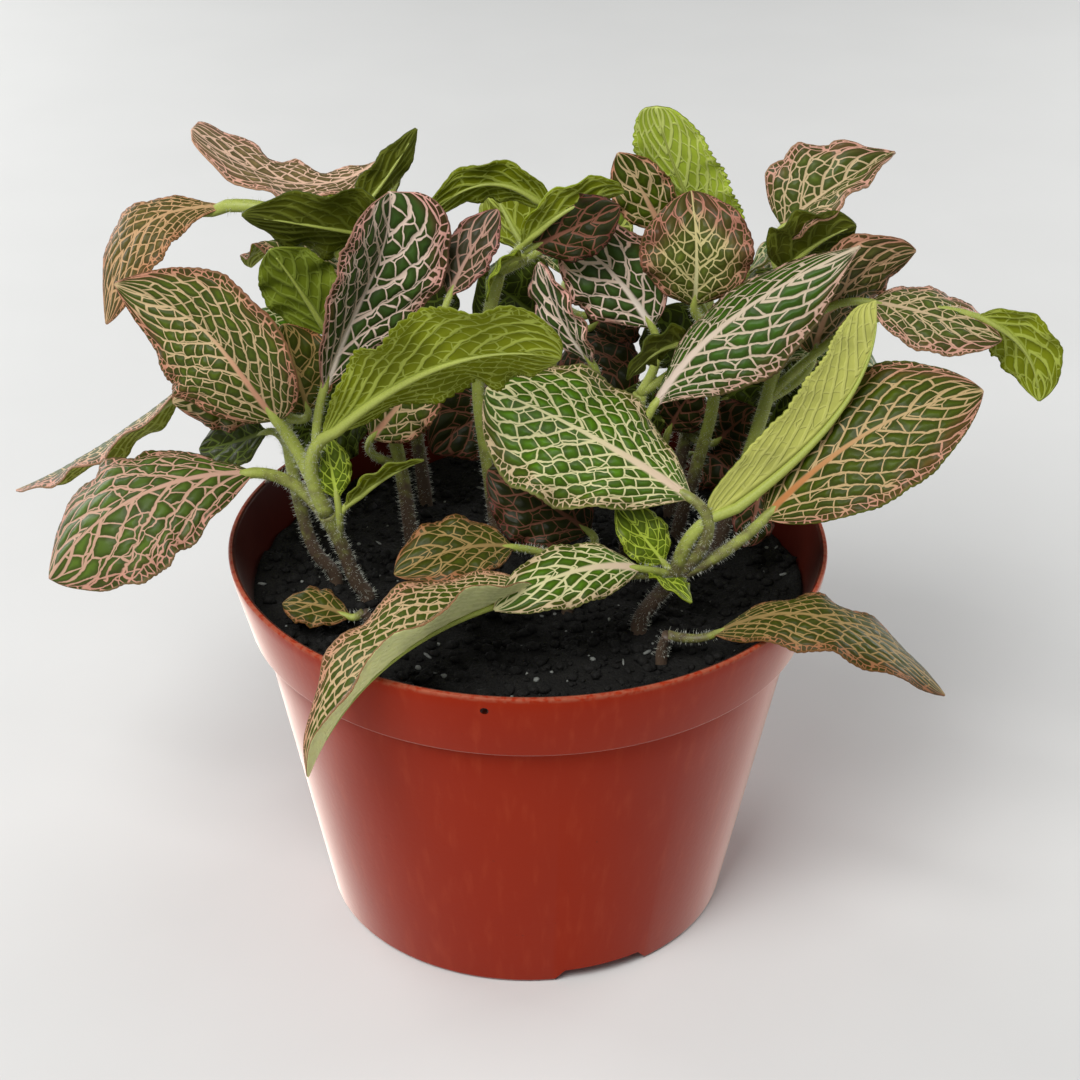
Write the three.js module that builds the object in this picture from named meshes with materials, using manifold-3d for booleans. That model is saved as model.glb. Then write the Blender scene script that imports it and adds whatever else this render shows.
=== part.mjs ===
// Nerve plant in a plastic nursery pot, in millimetres, +Z up.
// The origin is the centre of the pot's base, on the surface that it stands on. Front is -Y.

import * as THREE from 'three';
import { mergeVertices } from 'three/addons/utils/BufferGeometryUtils.js';
import Module from 'manifold-3d';

// Pot: thin moulded plastic, a plain tapered wall under a wider band
const RIM_RADIUS = 60;
const POT_HEIGHT = 80;
const BAND_HEIGHT = 15;
const BAND_FOOT_RADIUS = 56.3;
const WALL_TOP_RADIUS = 54.2;
const BASE_RADIUS = 41.5;
const WALL = 1.3;
const FLOOR_RISE = 3;
const FOOT_WIDTH = 2.4;
const DRAIN_HOLES = 6;
const DRAIN_HOLE_RADIUS = 3.2;
const DRAIN_RING_RADIUS = 27;
const NOTCHES = 3;
const NOTCH_WIDTH = 22;
const NOTCH_TOP_WIDTH = 16;
const NOTCH_HEIGHT = 2.6;
const NOTCH_ANGLE = -68;
const PIN_HOLE_RADIUS = 0.8;
const PIN_HOLE_BELOW_RIM = 3.2;
const PIN_HOLE_ANGLE = -97.3;
const POT_SIDES = 40;
const HOLE_SIDES = 8;
// Every cutter reaches past the wall that it cuts
const CUTTER_LENGTH = 12;
const DRAIN_CUTTER_LENGTH = 5.2;
const PIN_CUTTER_LENGTH = 6;
const OVERCUT = 1;

// Potting mix: fills the pot to 10 mm below the rim, with a hole round every stem
const SOIL_LEVEL = 70;
const CLEARANCE = 0.3;
const SOIL_SIDES = 30;
const SOIL_RINGS = [42, 26, 11];
const SOIL_EDGE_DROP = 1.5;
const LEDGE_BLEND = 2;
const SOIL_SWELL = 0.6;
const SWELL_SPAN_X = 7;
const SWELL_SPAN_Y = 6;
const SOIL_RIPPLE = 0.4;
const RIPPLE_SPAN = 4.3;
const ROOT_DEPTH = 24;
const HOLE_OVERCUT = 10;
// Flats on the two faceted walls bring them closer than their round shapes are
const WALL_FACET_ALLOWANCE = 0.25;
const HOLE_FACET_ALLOWANCE = 0.1;

// Foliage
const BLADE_THICKNESS = 0.8;
const BLADE_COLUMNS = 4;
const ROW_LENGTH = 5.5;
const MOST_ROWS = 8;
const FEWEST_ROWS = 4;
const BASE_HALF_WIDTH = 0.9;
const TIP_HALF_WIDTH = 0.45;
// Powers that shape the outline towards the leaf's base and tip
const OUTLINE_BASE = 0.7;
const OUTLINE_TIP = 0.75;
// Edge ruffles: their height as a share of the leaf's width, and how many there are along it
const RUFFLE_HEIGHT = 0.06;
const RUFFLES = 3.5;
const PETIOLE_STEPS = 3;
const PETIOLE_RADIUS = 0.7;
const PETIOLE_RADIUS_PER_WIDTH = 1 / 90;
const PETIOLE_FOOT = 1.15;
const PETIOLE_TAPER = 0.3;
const PETIOLE_BEND = 0.5;
const STEM_SIDES = 6;
const STEM_TAPER = 0.2;
const STEM_UPRIGHT_TO = SOIL_LEVEL - 4;
const NODE_SWELLING = 1.18;
const SMALL_STEP = 0.001;
// No stem or petiole runs this way, so a tube's first ring of points can be laid out from it
const ACROSS_AT_START = [1, 0.3, 0.2];

const POT_COLOUR = 0x9c3a1e;
const SOIL_COLOUR = 0x1c1815;
const LEAF_COLOUR = 0x4d6b2a;
const POT_ROUGHNESS = 0.45;
const SOIL_ROUGHNESS = 0.95;
const LEAF_ROUGHNESS = 0.55;

// Every leafy shoot: its stem from the root up, and its leaves. A leaf springs from one of the
// stem's points (at), has three or four points along its midrib from base to tip, the direction that its
// upper side faces at the base, its width, and how far its halves fold up (+) or down (-) in degrees.
// Full moves the widest place towards the base (under 1) or the tip (over 1), blunt under 1 rounds the
// tip, wave under 1 lowers the ruffles, and stalk is the petiole's radius.
const SHOOTS = {
  front_right_shoot: {
    stem: [[22, -20, 72], [24, -21, 77], [29, -22, 84]],
    radius: 1.8,
    leaves: [
      { at: 2, rib: [[31, -24, 102], [11, -17, 112], [-8, -8, 117]], face: [0, -6, 8], width: 31, fold: -20,
        full: 1.3, blunt: 0.8, stalk: 1.2 },
      { at: 2, rib: [[35, -24, 98], [58, -21, 120], [64, -15, 139]], face: [-6, 7, 3], width: 18, fold: 32,
        full: 0.5, blunt: 0.45, wave: 0.3, stalk: 1.4 },
      { at: 2, rib: [[45, -24, 98], [64, -23, 116], [85, -18, 122]], face: [-3, -6, 7], width: 27, fold: -8,
        wave: 0.4, stalk: 1.2 },
      { at: 2, rib: [[2, -36, 89], [-13, -45, 88], [-28, -56, 82], [-40, -60, 63]], face: [0, 3, 9],
        width: 22, fold: 38 },
      { at: 2, rib: [[21, -28, 89], [8, -35, 92], [-6, -42, 88]], face: [0, -5, 8], width: 13, fold: -10 },
      { at: 2, rib: [[26, -22, 87], [22, -21, 92], [17, -19, 98]], face: [2, -8, 6], width: 10, fold: 14 },
      { at: 2, rib: [[26, -26, 85], [27, -30, 87], [31, -34, 85]], face: [0, -3, 9], width: 8, fold: 10 },
    ],
  },
  left_shoot: {
    stem: [[-32, -10, 72], [-34, -11, 76], [-37, -12, 86], [-39, -13, 92]],
    radius: 1.7,
    leaves: [
      { at: 2, rib: [[-53, -11, 100], [-75, -20, 99], [-92, -23, 83]], face: [-3, -5, 8], width: 30,
        fold: -21, full: 1.25, blunt: 0.85, wave: 0.5, stalk: 1.3 },
      { at: 3, rib: [[-48, -12, 112], [-56, -14, 126], [-64, -9, 132], [-78, -5, 137]],
        face: [-3, -7, 4], width: 27, fold: 8, full: 0.75, blunt: 1.05, wave: 0.5, stalk: 1.4 },
      { at: 3, rib: [[-39, -16, 110], [-16, -27, 131], [6, -30, 134]], face: [-1, 9, 5], width: 28, fold: 8,
        full: 1.3, blunt: 0.7, stalk: 1.4 },
      { at: 2, rib: [[-35, -13, 94], [-28, -13, 100], [-20, -13, 104]], face: [-3, 5, 8], width: 9,
        fold: 15 },
      { at: 2, rib: [[-37, -13, 96], [-38, -12, 102], [-39, -11, 108]], face: [1, -9, 3], width: 8,
        fold: 10 },
      { at: 3, rib: [[-39, -8, 117], [-33, -6, 132], [-28, -4, 143], [-26, -3, 155]],
        face: [6, -6, 4], width: 27, fold: 22, full: 1.1, blunt: 0.5, wave: 0.4 },
    ],
  },
  left_rear_shoot: {
    stem: [[-39, -2, 72], [-43, -3, 79], [-46, -2, 92], [-48, 1, 106]],
    radius: 1.5,
    leaves: [
      { at: 3, rib: [[-50, -1, 109], [-59, -2, 112], [-69, -3, 111]], face: [-2, -9, 3], width: 16,
        fold: -12 },
      { at: 2, rib: [[-52, 2, 102], [-59, 5, 98], [-66, 8, 95]], face: [-1, -6, 7], width: 12, fold: 5 },
      { at: 3, rib: [[-67, 1, 113], [-85, 3, 98], [-103, 5, 87]], face: [-3, 4, 9], width: 16, fold: -20 },
      { at: 3, rib: [[-43, -2, 109], [-45, -2, 118], [-47, -1, 127]], face: [3, -9, 3], width: 17, fold: 8 },
      { at: 3, rib: [[-51, 9, 106], [-60, 17, 109], [-69, 24, 99]], face: [-2, 2, 9], width: 21, fold: -8 },
    ],
  },
  left_back_shoot: {
    stem: [[-24, 11, 72], [-26, 11, 90], [-30, 11, 112], [-34, 11, 134]],
    radius: 1.6,
    leaves: [
      { at: 3, rib: [[-28, 26, 151], [-45, 20, 147], [-65, 18, 159]], face: [1, 0, 9], width: 19, fold: 3,
        full: 1.6, blunt: 0.45 },
      { at: 3, rib: [[-21, 11, 139], [-36, 3, 145], [-54, 0, 149]], face: [0, 9, 5], width: 22, fold: 5 },
      { at: 3, rib: [[-37, 14, 140], [-29, 18, 148], [-22, 22, 158]], face: [-9, 6, -1], width: 10, fold: 5 },
      { at: 3, rib: [[-58, 9, 147], [-68, 8, 146], [-76, 5, 141], [-82, 5, 124]], face: [-2, -3, 8],
        width: 16, fold: -8, full: 1.8, wave: 0.5, stalk: 1.5 },
      { at: 2, rib: [[-39, 5, 122], [-44, 2, 133], [-49, 0, 142]], face: [-2, 9, 3], width: 15, fold: 10 },
      { at: 1, rib: [[-31, 4, 100], [-24, 0, 111], [-18, -1, 120]], face: [1, -8, 6], width: 15, fold: 5 },
      { at: 2, rib: [[-24, 16, 119], [-20, 15, 126], [-17, 14, 132]], face: [0, -8, 4], width: 14, fold: 6 },
    ],
  },
  centre_shoot: {
    stem: [[-6, 8, 72], [-8, 8, 90], [-10, 8, 112], [-6, 8, 134]],
    radius: 1.5,
    leaves: [
      { at: 2, rib: [[-15, 0, 133], [-11, 4, 140], [-6, 8, 147]], face: [-5, -8, 2], width: 11, fold: 10 },
      { at: 3, rib: [[4, 20, 142], [-8, 19, 148], [-20, 18, 141]], face: [0, 8, 6], width: 12, fold: 5 },
      { at: 3, rib: [[-1, 6, 141], [8, 5, 149], [18, 10, 150]], face: [-2, 7, 7], width: 12, fold: 10 },
      { at: 3, rib: [[1, 7, 140], [9, 5, 145], [17, 3, 150]], face: [0, -9, 2], width: 13, fold: 5 },
      { at: 3, rib: [[-2, 4, 139], [-6, 1, 138], [-8, -1, 132]], face: [-3, 5, 8], width: 11, fold: 5 },
      { at: 2, rib: [[12, 2, 118], [6, 2, 128], [2, 4, 138]], face: [-8, -5, 2], width: 15, fold: 5 },
    ],
  },
  right_back_shoot: {
    stem: [[20, 10, 72], [21, 9, 90], [22, 8, 108]],
    radius: 1.5,
    leaves: [
      { at: 2, rib: [[24, 10, 122], [16, 11, 133], [6, 13, 141]], face: [-3, -9, 3], width: 20, fold: 5 },
      { at: 2, rib: [[30, 4, 121], [25, 1, 121], [19, -2, 116]], face: [-1, 9, 4], width: 13, fold: 5 },
      { at: 1, rib: [[24, -9, 114], [38, -7, 131], [62, -4, 145]], face: [-5, -5, 7], width: 26, fold: -34,
        full: 1.6, blunt: 1.4, wave: 0.4 },
    ],
  },
  right_middle_shoot: {
    stem: [[31, 17, 72], [34, 16, 86], [37, 13, 104], [36, 10, 122]],
    radius: 1.5,
    leaves: [
      { at: 3, rib: [[39, 24, 131], [30, 20, 147], [24, 16, 165]], face: [4, 9, 2], width: 18, fold: 8,
        full: 0.45, blunt: 0.55, wave: 0.5 },
      { at: 3, rib: [[32, 7, 128], [32, 6, 140], [31, 13, 149]], face: [0, -9, 3], width: 22, fold: 6 },
      { at: 3, rib: [[26, 20, 138], [22, 20, 146], [17, 20, 154]], face: [-2, -8, 4], width: 12, fold: 5 },
      { at: 2, rib: [[33, 24, 108], [29, 23, 114], [25, 22, 120]], face: [0, -8, 4], width: 16, fold: 6 },
    ],
  },
  right_shoot: {
    stem: [[38, 6, 72], [42, 6, 88], [47, 6, 108], [51, 8, 130]],
    radius: 1.6,
    leaves: [
      { at: 2, rib: [[56, 8, 117], [61, 5, 133], [74, 6, 140]], face: [2, -8, 5], width: 19, fold: -8 },
      { at: 3, rib: [[49, 12, 142], [58, 12, 150], [70, 16, 156]], face: [-4, -5, 7], width: 22, fold: 32,
        full: 0.7, blunt: 1.3 },
      { at: 3, rib: [[49, 8, 135], [55, 5, 142], [62, 4, 146]], face: [-2, 8, 5], width: 21, fold: 5 },
      { at: 2, rib: [[66, 4, 130], [78, 2, 128], [91, 0, 124]], face: [0, -3, 9], width: 18, fold: -8,
        wave: 0.4 },
      { at: 2, rib: [[87, 4, 127], [96, 3, 121], [100, 2, 110]], face: [3, 9, 3], width: 14, fold: 5 },
      { at: 1, rib: [[46, 3, 89], [45, 0, 84], [43, -2, 79]], face: [2, -9, 3], width: 9, fold: 5 },
      { at: 1, rib: [[54, 12, 96], [66, 15, 98], [78, 18, 88]], face: [1, 2, 9], width: 22, fold: -8 },
    ],
  },
  low_right_shoot: {
    stem: [[26, -30, 72], [27, -31, 76]],
    radius: 1.3,
    leaves: [
      { at: 1, rib: [[36, -32, 77], [57, -38, 84], [80, -36, 66]], face: [1, -2, 9], width: 17, fold: -12 },
    ],
  },
  low_left_shoot: {
    stem: [[-31, -20, 72], [-32, -20, 74]],
    radius: 1.2,
    leaves: [
      { at: 1, rib: [[-35, -20, 73], [-42, -19, 75], [-48, -17, 74]], face: [0, -3, 9], width: 10, fold: -5 },
    ],
  },
  front_middle_shoot: {
    stem: [[8, -12, 72], [8, -13, 76], [7, -14, 82]],
    radius: 1.4,
    leaves: [
      { at: 2, rib: [[-3, -22, 90], [-14, -27, 92], [-25, -31, 89]], face: [0, -4, 9], width: 15, fold: 5 },
      { at: 2, rib: [[12, -5, 84], [2, -4, 91], [-8, -2, 96]], face: [-2, -8, 6], width: 20, fold: 5 },
    ],
  },
  rear_left_shoot: {
    stem: [[-22, 30, 72], [-24, 32, 88], [-28, 35, 110]],
    radius: 1.6,
    leaves: [
      { at: 2, rib: [[-34, 42, 116], [-47, 52, 121], [-60, 60, 112]], face: [-3, 3, 9], width: 27, fold: 8 },
      { at: 2, rib: [[-42, 33, 110], [-54, 35, 113], [-66, 38, 104]], face: [-3, 1, 9], width: 25,
        fold: -12 },
      { at: 2, rib: [[-25, 42, 113], [-22, 52, 119], [-19, 63, 112]], face: [0, 2, 9], width: 26, fold: 6 },
      { at: 1, rib: [[-34, 40, 90], [-46, 46, 92], [-58, 52, 80]], face: [-2, 3, 9], width: 22, fold: -12 },
      { at: 2, rib: [[-31, 31, 122], [-39, 35, 132], [-49, 38, 136]], face: [0, 6, 7], width: 20, fold: 8 },
      { at: 1, rib: [[-32, 28, 92], [-40, 24, 94], [-50, 20, 86]], face: [0, -7, 6], width: 18, fold: 6 },
    ],
  },
  rear_middle_shoot: {
    stem: [[4, 34, 72], [5, 36, 90], [6, 39, 114]],
    radius: 1.6,
    leaves: [
      { at: 2, rib: [[8, 47, 116], [12, 56, 120], [16, 65, 112]], face: [1, 3, 9], width: 27, fold: -10 },
      { at: 2, rib: [[0, 45, 122], [-6, 50, 131], [-10, 54, 138]], face: [2, 8, 5], width: 18, fold: 8 },
      { at: 2, rib: [[14, 43, 110], [26, 48, 113], [36, 56, 104]], face: [0, 2, 9], width: 22, fold: 8 },
      { at: 1, rib: [[-2, 43, 95], [-8, 53, 98], [-11, 63, 87]], face: [0, 2, 9], width: 24, fold: -10 },
      { at: 2, rib: [[9, 40, 120], [13, 45, 127], [18, 52, 130]], face: [0, -3, 9], width: 18, fold: 6 },
      { at: 0, rib: [[9, 43, 83], [15, 53, 87], [20, 63, 83]], face: [0, 1, 9], width: 18, fold: 8 },
      { at: 2, rib: [[2, 30, 114], [-4, 24, 122], [-10, 20, 128]], face: [0, -8, 4], width: 20, fold: 6 },
      { at: 2, rib: [[10, 32, 110], [14, 27, 104], [17, 24, 95]], face: [0, -8, 5], width: 18, fold: -6 },
      { at: 1, rib: [[-4, 30, 92], [-12, 27, 92], [-20, 24, 86]], face: [0, -8, 4], width: 18, fold: 6 },
      { at: 2, rib: [[13, 31, 112], [18, 26, 118], [23, 22, 120]], face: [0, -8, 4], width: 15, fold: 6 },
    ],
  },
  rear_right_shoot: {
    stem: [[30, 28, 72], [33, 30, 88], [38, 33, 112]],
    radius: 1.6,
    leaves: [
      { at: 2, rib: [[48, 38, 117], [59, 47, 122], [70, 56, 112]], face: [2, 3, 9], width: 26, fold: -10 },
      { at: 1, rib: [[48, 28, 104], [62, 28, 109], [76, 28, 96]], face: [3, 0, 9], width: 24, fold: 8 },
      { at: 1, rib: [[38, 42, 100], [42, 52, 103], [46, 62, 92]], face: [1, 3, 9], width: 25, fold: -10 },
      { at: 2, rib: [[34, 42, 124], [30, 48, 135], [27, 53, 144]], face: [2, 9, 3], width: 18, fold: 8 },
      { at: 2, rib: [[45, 36, 122], [55, 38, 129], [66, 40, 128]], face: [-2, 2, 9], width: 20, fold: 6 },
      { at: 1, rib: [[28, 24, 94], [24, 20, 98], [19, 17, 104]], face: [2, -8, 3], width: 16, fold: 6 },
      { at: 2, rib: [[43, 27, 117], [49, 21, 120], [56, 16, 117]], face: [0, -8, 5], width: 18, fold: 6 },
      { at: 1, rib: [[39, 29, 95], [45, 26, 101], [52, 23, 101]], face: [0, -8, 4], width: 20, fold: 6 },
      { at: 0, rib: [[34, 32, 82], [39, 27, 84], [44, 22, 80]], face: [0, -7, 5], width: 16, fold: 6 },
      { at: 1, rib: [[39, 23, 90], [42, 20, 95], [46, 18, 100]], face: [0, -8, 4], width: 14, fold: 6 },
      { at: 1, rib: [[50, 26, 98], [54, 24, 104], [58, 22, 109]], face: [0, -8, 4], width: 16, fold: -6 },
      { at: 0, rib: [[29, 24, 92], [31, 22, 98], [34, 20, 104]], face: [0, -8, 4], width: 14, fold: 6 },
      { at: 1, rib: [[48, 25, 90], [50, 24, 95], [52, 23, 101]], face: [0, -8, 4], width: 13, fold: 6 },
    ],
  },
};

const wasm = await Module();
wasm.setup();

function toSolid(geometry) {
  const bare = geometry.index ? geometry.toNonIndexed() : geometry.clone();
  bare.deleteAttribute('normal');
  bare.deleteAttribute('uv');
  const merged = mergeVertices(bare, 1e-4);
  return new wasm.Manifold(new wasm.Mesh({
    numProp: 3,
    vertProperties: merged.attributes.position.array,
    triVerts: new Uint32Array(merged.index.array),
  }));
}

function toGeometry(solid) {
  const mesh = solid.getMesh();
  const geometry = new THREE.BufferGeometry();
  geometry.setAttribute('position', new THREE.BufferAttribute(new Float32Array(mesh.vertProperties), 3));
  geometry.setIndex(new THREE.BufferAttribute(new Uint32Array(mesh.triVerts), 1));
  return geometry;
}

function meshFrom(points, faces) {
  const geometry = new THREE.BufferGeometry();
  const coordinates = points.flatMap((p) => [p.x, p.y, p.z]);
  geometry.setAttribute('position', new THREE.Float32BufferAttribute(coordinates, 3));
  geometry.setIndex(faces.flat());
  return geometry;
}

function named(name, geometry, colour, roughness) {
  const material = new THREE.MeshStandardMaterial({ color: colour, roughness, metalness: 0 });
  const mesh = new THREE.Mesh(geometry, material);
  mesh.name = name;
  return mesh;
}

// Smooth curve through evenly spaced points, by Lagrange's formula
function pointAlong(points, u) {
  const last = points.length - 1;
  const result = new THREE.Vector3();
  points.forEach((point, i) => {
    let weight = 1;
    for (let j = 0; j <= last; j += 1) {
      if (j !== i) weight *= (u * last - j) / (i - j);
    }
    result.addScaledVector(new THREE.Vector3(...point), weight);
  });
  return result;
}

function directionAlong(points, u) {
  const ahead = pointAlong(points, Math.min(u + SMALL_STEP, 1));
  return ahead.sub(pointAlong(points, Math.max(u - SMALL_STEP, 0))).normalize();
}

// Half the leaf's width at u, 0 at its base and 1 at its tip
function halfWidth(leaf, u) {
  const towardsBase = OUTLINE_BASE * (leaf.full ?? 1);
  const towardsTip = OUTLINE_TIP * (leaf.blunt ?? 1);
  const widest = towardsBase / (towardsBase + towardsTip);
  const peak = widest ** towardsBase * (1 - widest) ** towardsTip;
  const outline = (u ** towardsBase * (1 - u) ** towardsTip) / peak;
  const least = BASE_HALF_WIDTH + (TIP_HALF_WIDTH - BASE_HALF_WIDTH) * u;
  return Math.max((leaf.width / 2) * outline, least);
}

// Height of the ruffled edge, which dies out towards the midrib, the base and the tip
function ruffle(leaf, u, v) {
  const height = RUFFLE_HEIGHT * leaf.width * (leaf.wave ?? 1);
  const phase = leaf.width + leaf.rib[0][0] + (v < 0 ? 2 : 0);
  return height * v * v * Math.sin(2 * Math.PI * RUFFLES * u + phase) * Math.sin(Math.PI * u);
}

// The leaf's middle surface and its normal at the grid point (u along, v across from -1 to 1)
function bladeGrid(leaf, rows, columns) {
  const fold = THREE.MathUtils.degToRad(leaf.fold);
  const facing = new THREE.Vector3(...leaf.face);
  const grid = [];
  for (let i = 0; i <= rows; i += 1) {
    const u = i / rows;
    const along = directionAlong(leaf.rib, u);
    facing.addScaledVector(along, -facing.dot(along)).normalize();
    const across = new THREE.Vector3().crossVectors(along, facing);
    const spine = pointAlong(leaf.rib, u);
    const half = halfWidth(leaf, u);
    for (let j = 0; j <= columns; j += 1) {
      const v = (2 * j) / columns - 1;
      const side = Math.sign(v);
      const lift = Math.abs(v) * half * Math.sin(fold) + ruffle(leaf, u, v);
      const point = spine.clone().addScaledVector(across, v * half * Math.cos(fold));
      point.addScaledVector(facing, lift);
      const normal = facing.clone().multiplyScalar(side === 0 ? 1 / Math.cos(fold) : Math.cos(fold));
      normal.addScaledVector(across, -side * Math.sin(fold));
      grid.push({ point, normal });
    }
  }
  return grid;
}

// Four-sided rings of the petiole, from the stem to just before the blade. The petiole leaves the
// stem's own axis and meets the blade in line with its midrib.
function petioleRings(leaf, start) {
  const base = pointAlong(leaf.rib, 0);
  const back = directionAlong(leaf.rib, 0).multiplyScalar(-PETIOLE_BEND * base.distanceTo(start));
  const curve = new THREE.QuadraticBezierCurve3(start, base.clone().add(back), base);
  const facing = new THREE.Vector3(...leaf.face);
  const thick = leaf.stalk ?? PETIOLE_RADIUS + leaf.width * PETIOLE_RADIUS_PER_WIDTH;
  const rings = [];
  for (let i = PETIOLE_STEPS; i >= 0; i -= 1) {
    const t = i / PETIOLE_STEPS;
    const along = curve.getTangent(t);
    facing.addScaledVector(along, -facing.dot(along)).normalize();
    const across = new THREE.Vector3().crossVectors(along, facing);
    const reach = thick * (PETIOLE_FOOT - PETIOLE_TAPER * t) * Math.SQRT1_2;
    const middle = curve.getPoint(t);
    const side = (a) => middle.clone().addScaledVector(across, a * reach);
    const corner = (a, f) => side(a).addScaledVector(facing, f * reach);
    if (i < PETIOLE_STEPS) rings.unshift([corner(-1, 1), corner(1, 1), corner(1, -1), corner(-1, -1)]);
  }
  return rings;
}

// A leaf is its petiole and that surface thickened, in one closed mesh. Both faces of the blade
// have the same diagonals.
function leafSolid(leaf, start) {
  const ribLength = pointAlong(leaf.rib, 0).distanceTo(pointAlong(leaf.rib, 1));
  const rows = THREE.MathUtils.clamp(Math.round(ribLength / ROW_LENGTH), FEWEST_ROWS, MOST_ROWS);
  const columns = BLADE_COLUMNS;
  const grid = bladeGrid(leaf, rows, columns);
  const shifted = (amount) => grid.map(({ point, normal }) => point.clone().addScaledVector(normal, amount));
  const rings = petioleRings(leaf, start);
  const points = [...shifted(BLADE_THICKNESS / 2), ...shifted(-BLADE_THICKNESS / 2), ...rings.flat()];
  const under = grid.length;
  const at = (i, j) => i * (columns + 1) + j;
  const faces = [];
  for (let i = 0; i < rows; i += 1) {
    for (let j = 0; j < columns; j += 1) {
      const [a, b, c, d] = [at(i, j), at(i + 1, j), at(i + 1, j + 1), at(i, j + 1)];
      const slant = j < columns / 2;
      const split = slant ? [[a, c, b], [a, d, c]] : [[a, d, b], [b, d, c]];
      for (const [p, q, r] of split) faces.push([p, q, r], [p + under, r + under, q + under]);
    }
  }
  const wall = (a, b) => faces.push([a, b, b + under], [a, b + under, a + under]);
  for (let i = 0; i < rows; i += 1) {
    wall(at(i, 0), at(i + 1, 0));
    wall(at(i + 1, columns), at(i, columns));
  }
  for (let j = 0; j < columns; j += 1) wall(at(rows, j), at(rows, j + 1));

  const ring = (i, k) => 2 * under + 4 * i + (k % 4);
  for (let i = 0; i < PETIOLE_STEPS - 1; i += 1) {
    for (let k = 0; k < 4; k += 1) {
      const [a, b] = [ring(i, k), ring(i, k + 1)];
      faces.push([a, b, b + 4], [a, b + 4, a + 4]);
    }
  }
  faces.push([ring(0, 0), ring(0, 2), ring(0, 1)], [ring(0, 0), ring(0, 3), ring(0, 2)]);
  const [topLeft, topRight, lowRight, lowLeft] = [0, 1, 2, 3].map((k) => ring(PETIOLE_STEPS - 1, k));
  for (let j = 0; j < columns; j += 1) {
    const corner = j < columns / 2 ? [topLeft, lowLeft] : [topRight, lowRight];
    faces.push([at(0, j), corner[0], at(0, j + 1)], [at(0, j + 1) + under, corner[1], at(0, j) + under]);
  }
  const middle = at(0, columns / 2);
  faces.push([middle, topLeft, topRight], [middle + under, lowRight, lowLeft]);
  faces.push([at(0, 0), lowLeft, topLeft], [at(0, 0), under, lowLeft]);
  faces.push([at(0, columns), topRight, lowRight], [at(0, columns), lowRight, at(0, columns) + under]);
  return toSolid(meshFrom(points, faces));
}

// A closed round tube whose axis and radius are functions of t, from 0 to 1
function tube(axis, radius, steps, sides) {
  const points = [];
  const faces = [];
  const across = new THREE.Vector3(...ACROSS_AT_START);
  for (let i = 0; i <= steps; i += 1) {
    const t = i / steps;
    const behind = axis(Math.max(t - SMALL_STEP, 0));
    const along = axis(Math.min(t + SMALL_STEP, 1)).sub(behind).normalize();
    across.addScaledVector(along, -across.dot(along)).normalize();
    const third = new THREE.Vector3().crossVectors(along, across);
    for (let k = 0; k < sides; k += 1) {
      const angle = (2 * Math.PI * k) / sides;
      const point = axis(t).addScaledVector(across, radius(t) * Math.cos(angle));
      points.push(point.addScaledVector(third, radius(t) * Math.sin(angle)));
    }
  }
  for (let i = 0; i < steps; i += 1) {
    for (let k = 0; k < sides; k += 1) {
      const [a, b] = [i * sides + k, i * sides + ((k + 1) % sides)];
      faces.push([a, b, b + sides], [a, b + sides, a + sides]);
    }
  }
  const top = steps * sides;
  for (let k = 1; k < sides - 1; k += 1) {
    faces.push([0, k + 1, k], [top, top + k, top + k + 1]);
  }
  return toSolid(meshFrom(points, faces));
}

// The buried part is upright, so that a plain hole in the soil holds it
function stem(shoot) {
  const [x, y] = shoot.stem[0];
  const root = new THREE.Vector3(x, y, SOIL_LEVEL - ROOT_DEPTH);
  const above = shoot.stem.map((p) => new THREE.Vector3(...p));
  const surface = new THREE.Vector3(x, y, STEM_UPRIGHT_TO);
  const curve = new THREE.CatmullRomCurve3([root, surface, ...above], false, 'centripetal');
  const radius = (t) => shoot.radius * (1 - STEM_TAPER * t) * (t === 1 ? NODE_SWELLING : 1);
  return tube((t) => curve.getPoint(t), radius, above.length + 2, STEM_SIDES);
}

function shootMesh(name, shoot) {
  let body = stem(shoot);
  for (const leaf of shoot.leaves) {
    const start = new THREE.Vector3(...shoot.stem[leaf.at]);
    body = body.add(leafSolid(leaf, start));
  }
  return named(name, toGeometry(body), LEAF_COLOUR, LEAF_ROUGHNESS);
}

function lathed(profile, sides) {
  const turned = new THREE.LatheGeometry(profile.map(([r, z]) => new THREE.Vector2(r, z)), sides);
  return turned.rotateX(Math.PI / 2);
}

function polar(radius, degrees, z) {
  const angle = THREE.MathUtils.degToRad(degrees);
  return new THREE.Vector3(radius * Math.cos(angle), radius * Math.sin(angle), z);
}

// An arch cut up into the foot ring, for water to run out
function notchCutter(degrees) {
  const foot = NOTCH_WIDTH / 2;
  const top = NOTCH_TOP_WIDTH / 2;
  const arch = new THREE.Shape([
    new THREE.Vector2(-foot, -OVERCUT), new THREE.Vector2(foot, -OVERCUT),
    new THREE.Vector2(top, NOTCH_HEIGHT), new THREE.Vector2(-top, NOTCH_HEIGHT),
  ]);
  const cutter = new THREE.ExtrudeGeometry(arch, { depth: CUTTER_LENGTH, bevelEnabled: false });
  cutter.rotateX(Math.PI / 2).translate(0, CUTTER_LENGTH / 2, 0).rotateZ(Math.PI / 2);
  return toSolid(cutter.translate(BASE_RADIUS, 0, 0).rotateZ(THREE.MathUtils.degToRad(degrees)));
}

function drainCutter(degrees) {
  const centre = polar(DRAIN_RING_RADIUS, degrees, FLOOR_RISE);
  const radius = DRAIN_HOLE_RADIUS;
  const drill = new THREE.CylinderGeometry(radius, radius, DRAIN_CUTTER_LENGTH, HOLE_SIDES);
  return toSolid(drill.rotateX(Math.PI / 2).translate(centre.x, centre.y, centre.z));
}

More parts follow.
